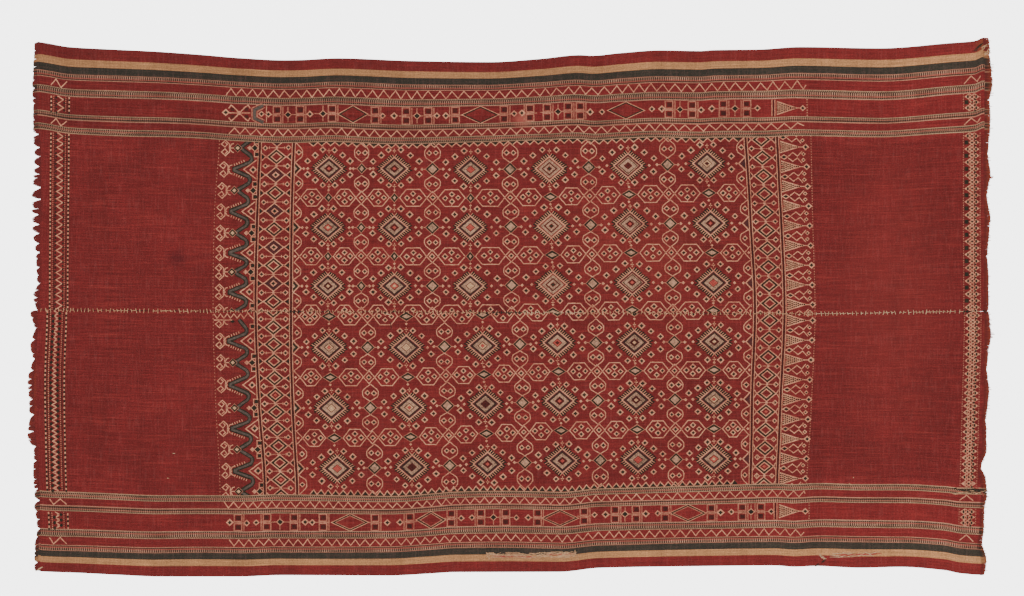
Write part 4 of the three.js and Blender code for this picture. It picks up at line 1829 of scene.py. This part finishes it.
@dataclass
class EndBand:
    """A narrow figured band near a woven end, over one stretch down the cloth."""

    chart: PanelChart
    lean: Curve
    start: float
    end: float
    filled_pitch: float = 5.2

    def columns(self, *columns: tuple[float, float, float, Yarn, float]) -> None:
        """Rows of small blocks down the cloth.

        Args:
            columns: for each its place right, a block's width, the pitch, its yarn and its phase.
        """
        for right, width, pitch, yarn, phase in columns:
            line = [(right + float(self.lean(down)), down) for down in np.linspace(self.start, self.end, 12)]
            self.chart.dotted(yarn, line, width, pitch, 0.52, phase)

    def turns(self, right: float, half: float, pitch: float, width: float) -> None:
        """An upright cream zigzag.

        Args:
            right: its middle.
            half: half its width.
            pitch: from turn to like turn.
            width: the yarn's width.
        """
        count = max(2, round((self.end - self.start) / pitch * 2))
        points = []
        for k in range(count + 1):
            down = self.start + (self.end - self.start) * k / count
            points.append((right + float(self.lean(down)) + (half if k % 2 else -half), down))
        self.chart.stroke(CREAM, points, width)

    def rungs(self, pitch: float) -> list[Point]:
        """Even places down the band, each as the lean there and its place down."""
        count = max(1, round((self.end - self.start) / pitch))
        downs = [self.start + (self.end - self.start) * (k + 0.5) / count for k in range(count)]
        return [(float(self.lean(down)), down) for down in downs]

    def left_upper(self) -> None:
        """The upper panel's left band: dotted columns round a zigzag."""
        self.columns((51.0, 1.5, 4.1, CREAM, 0), (51.0, 1.4, 4.1, INK, 0.5),
                     (53.4, 0.8, 2.1, TAN, 0), (54.7, 0.8, 2.1, INK, 0.5),
                     (56.3, 1.3, 3.7, INK, 0.2), (63.9, 1.3, 3.7, INK, 0.7),
                     (65.4, 0.8, 2.1, TAN, 0), (66.8, 0.8, 2.1, INK, 0.5),
                     (68.9, 1.5, 4.1, CREAM, 0.3), (68.9, 1.4, 4.1, INK, 0.8))
        self.turns(60.2, 3.0, 7.4, 1.15)

    def left_lower(self) -> None:
        """The lower panel's left band: a filled zigzag between dotted columns."""
        self.columns((45.2, 1.5, 4.5, CREAM, 0), (45.2, 1.5, 4.5, INK, 0.5),
                     (47.2, 0.9, 2.0, INK, 0), (48.5, 0.9, 2.2, CREAM, 0.3),
                     (60.2, 0.9, 2.2, TAN, 0), (61.6, 0.9, 2.0, INK, 0.4),
                     (64.2, 1.5, 4.5, CREAM, 0.3), (64.2, 1.5, 4.5, INK, 0.8))
        for shift, down in self.rungs(self.filled_pitch):
            self.chart.diamond(INK, 57.4 + shift, down, 1.9, 2.0)
            self.chart.diamond(INK, 50.9 + shift, down + self.filled_pitch / 2, 1.9, 2.0)
            self.chart.block(TAN, 54.1 + shift, down, 0.6, 1.0)
        self.turns(54.1, 2.4, self.filled_pitch, 1.15)

    def right(self) -> None:
        """A right band: triangles on both sides of a crossed zigzag, between dotted lines. On the upper
        panel dark blocks take the place of every second triangle on the left."""
        chart = self.chart
        upper = chart.form.upper
        pitch = 6.6 if upper else 6.4
        self.columns((963.4, 0.8, 2.4, TAN, 0), (980.0, 0.8, 2.4, TAN, 0))
        rungs = self.rungs(pitch)
        for k, (shift, y) in enumerate(rungs):
            x = 966.6 + shift
            if k % 2 and upper:
                chart.block(DARK, x - 0.2, y, 1.9, 2.0)
            else:
                chart.patch(CREAM, ((x + 2.6, y - 3.5), (x - 2.4, y), (x + 2.6, y + 3.5)))
                chart.block(INK, x + 1.1, y, 0.9, 1.4)
            chart.patch(CREAM, ((x + 8.2, y - 3.1), (x + 12.9, y), (x + 8.2, y + 3.1)))
            chart.block(INK, x + 9.4, y, 0.9, 1.4)
            chart.diamond(INK, x + 5.3, y, 1.0, 1.3)
            chart.block(INK, x + 8.2, y + (self.end - self.start) / len(rungs) / 2, 0.9, 0.9)
        for half in (-2.5, 2.5):
            self.turns(971.9, half, pitch, 1.05)


@dataclass
class EndBands:
    """The narrow figured bands near the two woven ends of a panel, and the marks beside them."""

    chart: PanelChart
    margin: float = 0.8

    def weave(self) -> None:
        """Draws both ends, in the field and again across the border's broad band."""
        form = self.chart.form
        for end, at in (("left", 58.0), ("right", 971.0)):
            edges = sorted(self.chart.edge(track, at) for track in (self.chart.border, self.chart.join))
            levels = sorted(form.border_spot(at, warped)[1] for warped in (98.5, 131.5))
            name = f"{end}_{form.name}"
            for start, stop in ((edges[0] + self.margin, edges[1] - self.margin), levels):
                band = EndBand(self.chart, LEANS[name], start, stop)
                {"left_upper": band.left_upper, "left_lower": band.left_lower}.get(name, band.right)()
        self.border_marks()

    def border_marks(self) -> None:
        """The short zigzags where the bands cross the border."""
        stripes = ((79.0, 65.0), (158.5, 146.5))
        left = ((51.0, 0.0), (56.0, 1.0), (61.0, -0.1), (67.0, 0.9))
        right = ((964.0, 0.0), (971.0, 1.0), (977.0, 0.1), (980.5, 0.6))
        if not self.chart.form.upper:
            stripes = ((65.0, 79.0), (146.5, 158.5))
            left = ((49.4, 0.95), (53.6, 0.0), (60.2, 1.0), (66.6, 0.05))
            right = ((959.4, 0.1), (966.4, 1.0), (973.2, 0.1))
        for turns in (left, right):
            for outer, inner in stripes:
                points = [self.chart.form.border_spot(place, outer + (inner - outer) * level)
                          for place, level in turns]
                self.chart.stroke(CREAM, points, 1.05)


@dataclass
class GroundSheet:
    """The woven ground of one panel, as a thin closed sheet."""

    form: PanelForm
    columns: int = 300
    field_rows: int = 46
    border_step: float = 4.0

    def warped_rows(self) -> np.ndarray:
        """Rows of points across the panel, closer together in the border."""
        border = np.arange(0, WARPED.whole, self.border_step)
        rest = np.linspace(WARPED.whole, WARPED_JOIN, self.field_rows)
        return np.concatenate([border, rest])

    def build(self) -> Piece:
        """Makes the sheet's mesh.

        Returns:
            The piece.
        """
        warped = self.warped_rows()
        if self.form.upper:
            warped = warped[::-1]
        shares = np.linspace(0, 1, self.columns + 1)
        share_grid, warped_grid = np.meshgrid(shares, warped, indexing="ij")
        along, across = self.form.point_at(share_grid, warped_grid)
        wide = len(warped)
        top = np.stack([along, across, face_at(along, across)], -1).reshape(-1, 3)
        under = np.stack([along, across, lift_at(along, across)], -1).reshape(-1, 3)
        points = np.concatenate([top, under])
        total = len(top)
        faces = []
        for i in range(self.columns):
            for j in range(wide - 1):
                a = i * wide + j
                b = (i + 1) * wide + j
                faces.append((a, b, b + 1, a + 1))
                faces.append((total + a, total + a + 1, total + b + 1, total + b))
        rim = [i * wide for i in range(self.columns + 1)]
        rim += [self.columns * wide + j for j in range(1, wide)]
        rim += [i * wide + wide - 1 for i in range(self.columns - 1, -1, -1)]
        rim += [j for j in range(wide - 2, 0, -1)]
        for a, b in zip(rim, rim[1:] + rim[:1]):
            faces.append((b, a, total + a, total + b))
        piece = mesh_piece(f"ground_{self.form.name}", points, faces)
        self.map_threads(piece, along, warped_grid)
        return piece

    def map_threads(self, piece: Piece, along: np.ndarray, warped: np.ndarray) -> None:
        """Gives the sheet a map in metres, along the warp and in from the selvedge.

        Args:
            piece: the sheet.
            along: each point's place along.
            warped: each point's distance from the selvedge.
        """
        flat = np.stack([along.ravel(), warped.ravel()], -1) * MM
        both = np.concatenate([flat, flat])
        layer = piece.data.uv_layers.new(name="warp_and_weft")
        loops = np.empty(len(piece.data.loops), np.int32)
        piece.data.loops.foreach_get("vertex_index", loops)
        layer.data.foreach_set("uv", both[loops].astype(np.float32).ravel())


@dataclass(frozen=True)
class FrayFinish:
    """Loose warp ends, each dyed as the stripe that it comes from."""

    deep: tuple[int, int, int] = (56, 18, 16)

    def make(self) -> Material:
        """Lays out the material's nodes.

        Returns:
            The material.
        """
        sketch = NodeSketch("frayed_warp")
        dye = sketch.node("ShaderNodeAttribute", attribute_name="dye").outputs["Color"]
        grain = sketch.noise(sketch.place(), (300, 900, 300))
        colour = sketch.blend(sketch.spread(grain, 0.35, 0.75, 0.0, 0.5), dye, srgb(*self.deep))
        return sketch.cotton(colour, grain, (0.92, 0.15), (0.5, 0.3))


class ThreadMesh:
    """Loose threads of four sides each, gathered into one mesh."""

    def __init__(self) -> None:
        """Starts without any thread."""
        self.points: list[Spot] = []
        self.faces: list[tuple[int, ...]] = []
        self.dyes: list[Colour] = []

    def add(self, path: Sequence[Spot], half: float, taper: float = 0.0, dye: Colour = PURE_WHITE,
            tip_dye: Colour = PURE_WHITE) -> None:
        """Adds one thread.

        Args:
            path: its course, in millimetres.
            half: half its width.
            taper: how much thinner it gets, from 0 to 1.
            dye: its colour at its root.
            tip_dye: its colour at its tip.
        """
        base = len(self.points)
        last = len(path) - 1
        for k, (x, y, z) in enumerate(path):
            ax, ay, _ = path[max(k - 1, 0)]
            bx, by, _ = path[min(k + 1, last)]
            length = max(math.hypot(bx - ax, by - ay), 1e-6)
            thin = half * (1 - taper * (k / last) ** 2)
            sx = -(by - ay) / length * thin
            sy = (bx - ax) / length * thin
            self.points += [(x - sx, y - sy, z), (x, y, z + thin * 0.8),
                            (x + sx, y + sy, z), (x, y, z - thin * 0.6)]
            aged = (k / last) ** 2
            self.dyes += [tuple(a + (b - a) * aged for a, b in zip(dye, tip_dye))] * 4
        for k in range(last):
            for c in range(4):
                a = base + 4 * k + c
                b = base + 4 * k + (c + 1) % 4
                self.faces.append((a, a + 4, b + 4, b))
        self.faces.append(tuple(base + c for c in range(4)))
        self.faces.append(tuple(base + 4 * last + c for c in reversed(range(4))))

    def lay(self, name: str) -> Piece:
        """Makes the piece.

        Args:
            name: its name.

        Returns:
            The piece.
        """
        piece = mesh_piece(name, np.array(self.points), self.faces)
        layer = piece.data.attributes.new("dye", "FLOAT_COLOR", "POINT")
        layer.data.foreach_set("color", np.array(self.dyes, np.float32).ravel())
        return piece


@dataclass
class FrayedEnd:
    """The frayed warp ends along one woven end of a panel, drawn together in ragged locks."""

    name: str
    form: PanelForm
    outward: int
    notches: Sequence[float]
    seed: int
    rust: Callable[[float], float]
    pitch: float = 0.7
    stray_share: float = 0.07
    corner_at: float = 990.0
    stripes_at: float = 985.0
    tuck: float = 2.5

    def bounds(self, rand: random.Random, low: float, high: float) -> list[tuple[float, float]]:
        """Where the locks part, and how short the threads are there.

        Args:
            rand: source of the unevenness.
            low: where the end starts across the cloth.
            high: where it ends.

        Returns:
            Pairs of place and share of the reach, with rising places.
        """
        shallow, step, short = (0.05, 0.4), (8, 22), (0.72, 0.94)
        if self.outward > 0:
            shallow, step, short = (0.78, 0.94), (20, 50), (0.97, 1.0)
        marks = [((CHART_MIDDLE[1] - down) * CHART_SQUARE, rand.uniform(*shallow)) for down in self.notches]
        marks = sorted([(low, 0.7), (high, 0.8)] + [mark for mark in marks if low + 5 < mark[0] < high - 5])
        found = [marks[0]]
        for after in marks[1:]:
            while after[0] - found[-1][0] > step[1] + 4:
                found.append((found[-1][0] + rand.uniform(*step), rand.uniform(*short)))
            found.append(after)
        return found

    def build(self) -> Piece:
        """Makes all the threads as one mesh.

        Returns:
            The piece.
        """
        rand = random.Random(self.seed)
        form = self.form
        end_at, reach_at = form.left_at, form.reaches[0]
        if self.outward > 0:
            end_at, reach_at = form.right_at, form.reaches[1]
        corner = self.outward * self.corner_at
        low, high = sorted((float(form.join_edge(corner)), float(form.selvedge_at(corner))))
        warped = np.arange(0.0, WARPED_JOIN, 1.0)
        across_of = form.across_at(self.outward * self.stripes_at, warped)
        order = np.argsort(across_of)
        threads = ThreadMesh()
        gather, droop = (0.1, 1.6) if self.outward < 0 else (0.02, 0.0)
        parts = self.bounds(rand, low, high)
        for (start, near), (end, far) in zip(parts, parts[1:]):
            tip = start + (end - start) * rand.uniform(0.3, 0.7)
            tall = rand.uniform(0.9, 1.08) if self.outward < 0 else rand.uniform(0.96, 1.03)
            for k in range(max(1, round((end - start) / self.pitch))):
                across = start + (k + rand.uniform(0.1, 0.9)) * self.pitch
                side = (across - tip) / (end - tip if across > tip else tip - start)
                root = far if across > tip else near
                share = tall - (tall - root) * min(abs(side), 1.0) ** 2.4
                reach = max(float(reach_at(across)) * share * rand.uniform(0.9, 1.05), 0.8)
                if self.outward > 0 and rand.random() < self.stray_share:
                    reach *= rand.uniform(1.1, 1.5)
                inset = float(np.interp(across, across_of[order], warped[order]))
                lean = (tip - across) * gather - droop
                self.thread(threads, rand, across, float(end_at(across)), reach, lean, inset)
        return threads.lay(self.name)

    def thread(self, threads: ThreadMesh, rand: random.Random, across: float, root: float, reach: float,
               lean: float, inset: float) -> None:
        """Adds one thread of a lock.

        Args:
            threads: the mesh so far.
            rand: source of the unevenness.
            across: its place across the cloth.
            root: where the firm cloth ends.
            reach: how far it stands out.
            lean: how far its tip leans towards the lock's.
            inset: its distance from the selvedge, as warped.
        """
        stripe = [row for row in BORDER_STRIPES if row.start <= inset][-1]
        dim = rand.uniform(0.92, 1.18)
        dyes = []
        for rust in (0.0, min(max(self.rust(across) + rand.uniform(-0.2, 0.3), 0.0), 0.9)):
            mixed = [((1 - rust) * part + rust * warm) * dim
                     for part, warm in zip((stripe.red, stripe.green, stripe.blue), (176, 84, 46))]
            dyes.append(srgb(*mixed))
        base = float(lift_at(root, across))
        path = []
        for share in (0.0, 0.35, 0.7, 1.0):
            path.append((root + self.outward * (-self.tuck + (reach + self.tuck) * share),
                         across + lean * share * share + rand.uniform(-0.4, 0.4) * share,
                         base + 0.75 * (1 - 0.4 * share) + rand.uniform(-0.12, 0.12)))
        threads.add(path, rand.uniform(0.7, 0.95), 0.35, *dyes)


def arch(start: Point, end: Point, rise: float, stations: int = 4) -> list[Spot]:
    """A course over the cloth's face that rises in its middle.

    Args:
        start: where it comes up, in millimetres.
        end: where it goes down.
        rise: how high its middle stands.
        stations: how many steps it has.

    Returns:
        The course.
    """
    path = []
    for k in range(stations + 1):
        share = k / stations
        x = start[0] + (end[0] - start[0]) * share
        y = start[1] + (end[1] - start[1]) * share
        path.append((x, y, float(face_at(x, y)) - 0.15 + rise * math.sin(math.pi * share)))
    return path


@dataclass
class JoinSeam:
    """The hand sewing that holds the two panels together."""

    start: float = -985.0
    end: float = 985.0
    pitch: float = 8.6
    seed: int = 41
    bright: tuple[tuple[float, float], ...] = ((22.0, 78.0), (88.0, 150.0), (640.0, 985.0))
    dark: tuple[tuple[float, float], ...] = ((-45.0, 20.0), (-462.0, -440.0), (950.0, 966.0))

    def build(self) -> dict[str, Piece]:
        """Makes the cream stitches, the white ones and the dark ones.

        Returns:
            The pieces by the shade of their yarn.
        """
        rand = random.Random(self.seed)
        seams = {"cream": ThreadMesh(), "white": ThreadMesh(), "dark": ThreadMesh(), "red": ThreadMesh()}
        buried = [(x, float(join_at(x)), float(lift_at(x, join_at(x))) + 0.55)
                  for x in np.arange(-986.0, 987.0, 8.0)]
        seams["red"].add(buried, 1.1)
        along = self.start
        while along < self.end:
            shade = "white" if any(low < along < high for low, high in self.bright) else "cream"
            if any(low < along < high for low, high in self.dark):
                shade = "dark"
            middle = float(join_at(along))
            half = rand.uniform(2.6, 5.2)
            slant = rand.uniform(-1.2, 1.6)
            thick = rand.uniform(0.55, 0.8) * (1.6 if shade == "dark" else 1.0)
            across = arch((along - slant, middle + half), (along + slant, middle - half), 0.75)
            seams[shade].add(across, thick)
            step = self.pitch * rand.uniform(0.75, 1.25)
            if rand.random() < 0.95:
                run = (along + step * rand.uniform(0.5, 0.95),
                       float(join_at(along + step)) + rand.uniform(-0.6, 0.6))
                under = "dark" if shade == "cream" and rand.random() < 0.6 else shade
                seams[under].add(arch((along, middle + rand.uniform(-0.6, 0.6)), run, 0.5), thick * 0.85)
            along += step
        return {shade: seam.lay(f"stitches_{shade}") for shade, seam in seams.items()}


class LooseThread(NamedTuple):
    """A run of loose threads: its two ends in chart squares, how many, their spread and their shade."""

    start: Point
    end: Point
    count: int
    spread: float
    shade: str


LOOSE_THREADS = rows(
    LooseThread, ((486, 555), (532, 555.5), 44, 3.0, "cream"),
    ((528, 555.5), (578, 554.5), 48, 3.2, "cream"), ((486, 552), (490, 560), 7, 1.2, "cream"),
    ((574, 550), (578, 559), 6, 1.0, "cream"), ((492, 556.5), (540, 557), 14, 1.0, "red"),
    ((545, 554.5), (575, 554), 8, 1.0, "red"), ((824, 555.5), (884, 553.5), 13, 2.6, "white"),
    ((818, 553), (826, 560), 12, 1.6, "white"), ((836, 555.4), (882, 553.6), 30, 1.0, "red"),
    ((815, 567), (828, 558), 7, 1.0, "dark"), ((980, 50), (989, 44), 9, 1.6, "cream"),
    ((983, 57), (990, 49), 7, 1.6, "cream"), ((35, 571.5), (43, 566.5), 12, 0.7, "white"),
    ((391, 318), (391, 330), 2, 0.5, "dark"), ((385, 313), (390, 315), 5, 1.2, "white"),
    ((962, 311), (972, 312), 6, 0.8, "dark"), ((982, 311), (990, 313), 5, 1.4, "dark"),
    ((946, 489), (990, 491), 22, 2.4, "dark"), ((950, 493), (988, 492), 12, 2.2, "cream"),
    ((972, 484), (986, 497), 8, 2.6, "red"), ((973, 53), (986, 40), 9, 1.2, "dark"),
    ((290, 312), (304, 313), 3, 0.4, "dark"), ((172.5, 453), (175, 453.6), 2, 0.3, "white"),
    ((167, 478), (169, 478.4), 2, 0.3, "cream"), ((852.4, 476.6), (853.8, 477.8), 3, 0.4, "white"),
    ((848.5, 484), (852, 484.6), 3, 0.9, "cream"),
)


@dataclass
class WornSpots:
    """Frayed stretches of the selvedge stripes and stray threads elsewhere."""

    runs: Sequence[LooseThread] = LOOSE_THREADS
    seed: int = 77

    def build(self) -> dict[str, Piece]:
        """Makes the loose threads.

        Returns:
            The pieces by shade.
        """
        rand = random.Random(self.seed)
        meshes = {"cream": ThreadMesh(), "white": ThreadMesh(), "red": ThreadMesh(), "dark": ThreadMesh()}
        for run in self.runs:
            dx = run.end[0] - run.start[0]
            dy = run.end[1] - run.start[1]
            length = math.hypot(dx, dy)
            for _ in range(run.count):
                first = rand.uniform(0.0, 0.75)
                last = min(first + rand.uniform(0.12, 0.4) * max(1.0, 14 / length), 1.0)
                ends = []
                for share in (first, last):
                    off = rand.uniform(-run.spread, run.spread)
                    x = run.start[0] + dx * share - dy / length * off
                    y = run.start[1] + dy * share + dx / length * off
                    ends.append(on_cloth((x, y)))
                course = arch(ends[0], ends[1], rand.uniform(0.2, 0.9), 5)
                meshes[run.shade].add(course, rand.uniform(0.45, 0.8), 0.4)
        return {shade: mesh.lay(f"loose_threads_{shade}") for shade, mesh in meshes.items()}


@dataclass(frozen=True)
class FloorFinish:
    """A matt, nearly white surface that shines a little, as the photo's ground does."""

    shade: tuple[int, int, int] = (240, 240, 241)
    light: tuple[int, int, int] = (244, 244, 244)
    glow: float = 3.7

    def make(self) -> Material:
        """Lays out the material's nodes.

        Returns:
            The material.
        """
        sketch = NodeSketch("pale_floor")
        grain = sketch.noise(sketch.place(), 6.0, 2.0)
        look = {"Base Color": sketch.ramp(grain, ((0.3, srgb(*self.shade)), (0.7, srgb(*self.light)))),
                "Roughness": 0.9, "Specular IOR Level": 0.1, "Emission Color": PURE_WHITE,
                "Emission Strength": self.glow}
        for key, value in look.items():
            sketch.feed(sketch.shader.inputs[key], value)
        return sketch.material


class Lamp(NamedTuple):
    """A large soft lamp aimed at the cloth: its name, its place and side in metres, its power in watts."""

    name: str
    place: Spot
    size: float
    power: float


@dataclass
class Studio:
    """Floor, soft light and the camera straight above."""

    picture: tuple[int, int] = (1024, 596)
    lens_mm: float = 100.0
    sensor_mm: float = 36.0
    floor_side: float = 12.0
    floor_drop: float = 0.0005
    world_light: float = 0.75
    lamps: Sequence[Lamp] = rows(
        Lamp, ("key_light", (-1.2, 1.6, 3.4), 3.0, 42.0), ("fill_light", (1.8, -1.2, 3.6), 3.4, 30.0),
    )

    def build(self) -> None:
        """Makes the floor, the lights and the camera."""
        self.floor()
        for lamp in self.lamps:
            self.light(lamp)
        self.world()
        self.camera()

    def floor(self) -> None:
        """The plain floor that the cloth lies on."""
        bpy.ops.object.select_all(action="DESELECT")
        bpy.ops.mesh.primitive_grid_add(x_subdivisions=4, y_subdivisions=4, size=self.floor_side,
                                        location=(0, 0, -self.floor_drop))
        floor = bpy.context.active_object
        floor.name = "floor"
        floor.data.materials.append(FloorFinish().make())

    def light(self, lamp: Lamp) -> None:
        """Hangs one lamp.

        Args:
            lamp: its measures.
        """
        bpy.ops.object.light_add(type="AREA", location=lamp.place)
        hung = bpy.context.active_object
        hung.name = lamp.name
        hung.data.size = lamp.size
        hung.data.energy = lamp.power
        hung.rotation_euler = (-Vector(lamp.place)).to_track_quat("-Z", "Y").to_euler()

    def world(self) -> None:
        """Even light from all round."""
        world = bpy.data.worlds.new("soft_world")
        bpy.context.scene.world = world
        world.use_nodes = True
        back = world.node_tree.nodes["Background"]
        back.inputs["Color"].default_value = PURE_WHITE
        back.inputs["Strength"].default_value = self.world_light

    def camera(self) -> None:
        """The camera straight above, framed as the photo is."""
        width = self.picture[0] * CHART_SQUARE * MM
        distance = width * self.lens_mm / self.sensor_mm
        x = (self.picture[0] / 2 - CHART_MIDDLE[0]) * CHART_SQUARE + FRAME_SHIFT
        y = (CHART_MIDDLE[1] - self.picture[1] / 2) * CHART_SQUARE
        bpy.ops.object.camera_add(location=(x * MM, y * MM, distance + 0.001), rotation=(0, 0, 0))
        camera = bpy.context.active_object
        camera.name = "camera"
        camera.data.lens = self.lens_mm
        camera.data.sensor_width = self.sensor_mm
        camera.data.clip_end = 50
        bpy.context.scene.camera = camera


UPPER_ZIGZAGS = (ZigzagRow(226, 806, 10.4, 12.6, 65.0, 80.0), ZigzagRow(229, 804, 10.6, 12.4, 146.4, 159.2))
LOWER_ZIGZAGS = (ZigzagRow(229, 804, 9.6, 10.6, 65.6, 78.6), ZigzagRow(224, 805, 9.4, 10.6, 146.4, 159.2))

LEFT_UPPER_NOTCHES = (134, 147, 156, 166, 174, 187, 199, 214, 224, 233, 243, 252, 267, 283, 297, 309)
LEFT_LOWER_NOTCHES = (327, 339, 358, 370, 385, 399, 414, 431, 446, 460, 488, 500, 528, 562)
RIGHT_UPPER_NOTCHES = (55, 100, 139, 154, 195, 226, 256, 290)
RIGHT_LOWER_NOTCHES = (326, 350, 369, 400, 420, 440, 468)


@dataclass
class Cloth:
    """The whole cloth: two grounds, their pattern yarns, the join and the frayed ends."""

    flat_length: float = 1.99
    flat_width: float = 0.56

    def build(self) -> None:
        """Builds and dresses every piece."""
        # The second value of each ground is its border's painted light, at the left end and at the right end.
        grounds = {"upper": GroundFinish("ground_cotton_upper", (0.95, 1.34)).make(),
                   "lower": GroundFinish("ground_cotton_lower", (1.14, 1.42)).make()}
        yarns = {yarn: finish.make() for yarn, finish in YARN_FINISHES.items()}
        fray = FrayFinish().make()
        for form, seed in ((UPPER, 11), (LOWER, 23)):
            node = f"panel_{form.name}"
            sheet = GroundSheet(form).build()
            dress(sheet, grounds[form.name], [node])
            chart = self.draw(form, seed)
            for yarn, material in yarns.items():
                piece = chart.lay(yarn)
                if piece is None:
                    continue
                dress(piece, material, [node])
        shades = {"cream": LIGHT, "white": WHITE, "dark": DARK}
        for pieces, red in ((JoinSeam().build(), BROWN), (WornSpots().build(), ROSE)):
            shades["red"] = red
            for shade, piece in pieces.items():
                dress(piece, yarns[shades[shade]], ["panel_upper", "panel_lower"])
        self.fray(fray)

    def fray(self, finish: Material) -> None:
        """Builds the four frayed ends.

        Args:
            finish: their material.
        """
        left_rust = Curve([(-560, 0.2), (-300, 0.3), (-120, 0.45), (0, 0.2), (540, 0.1)])
        right_rust = Curve([(-560, 0.6), (0, 0.6), (400, 0.75), (560, 0.6)])
        for name, form, outward, notches, seed in (
            ("left_upper", UPPER, -1, LEFT_UPPER_NOTCHES, 3),
            ("left_lower", LOWER, -1, LEFT_LOWER_NOTCHES, 5),
            ("right_upper", UPPER, 1, RIGHT_UPPER_NOTCHES, 7),
            ("right_lower", LOWER, 1, RIGHT_LOWER_NOTCHES, 9),
        ):
            rust = left_rust if outward < 0 else right_rust
            piece = FrayedEnd(f"threads_{name}", form, outward, notches, seed, rust).build()
            dress(piece, finish, [f"fringe_{name}"])

    def draw(self, form: PanelForm, seed: int) -> PanelChart:
        """Draws the whole pattern of one panel.

        Args:
            form: the panel.
            seed: start of its small unevenness.

        Returns:
            The chart with every yarn's outlines.
        """
        chart = PanelChart(form, seed)
        upper = form.upper
        chart.fenced = True
        CentreField(chart, UPPER_DIAMONDS if upper else LOWER_DIAMONDS).weave()
        UprightLines(chart).weave()
        if upper:
            LozengeColumn(chart, LINE_ONE, LINE_TWO, 120.6, 18.1, 12, True).weave()
            LozengeColumn(chart, LINE_THREE, LINE_FOUR, 121.3, 18.2, 12, False).weave()
            LeftPattern(chart, (148, 190.5, 233, 272, 312), (169.5, 211.5, 253, 292)).weave()
            spears, ovals = [127.3 + 19.7 * k for k in range(10)], [137.3 + 19.75 * k for k in range(10)]
        else:
            LozengeColumn(chart, LINE_ONE, LINE_TWO, 310.6, 16.9, 13, False).weave()
            LozengeColumn(chart, LINE_THREE, LINE_FOUR, 302.2, 18.25, 12, False).weave()
            LeftPattern(chart, (320, 362.6, 408, 449.4, 491.5), (341, 385, 428.8, 471)).weave()
            spears, ovals = [300.7 + 19.75 * k for k in range(11)], [310.7 + 19.7 * k for k in range(10)]
        RightPattern(chart, spears, ovals).weave()
        chart.fenced = False
        Borders(chart, UPPER_ZIGZAGS if upper else LOWER_ZIGZAGS, UPPER_FIGURES if upper else LOWER_FIGURES,
                (309, 742, 8.7) if upper else (310, 738, 7.4)).weave()
        EndBands(chart).weave()
        for yarn, shapes in chart.shapes.items():
            LOG.info("%s %s: %d patches", form.name, yarn.name.lower(), len(shapes))
        return chart


def main() -> None:
    """Builds the studio and the cloth."""
    logging.basicConfig(level=logging.INFO, format="%(message)s")
    Studio().build()
    Cloth().build()


if __name__ == "__main__":
    main()
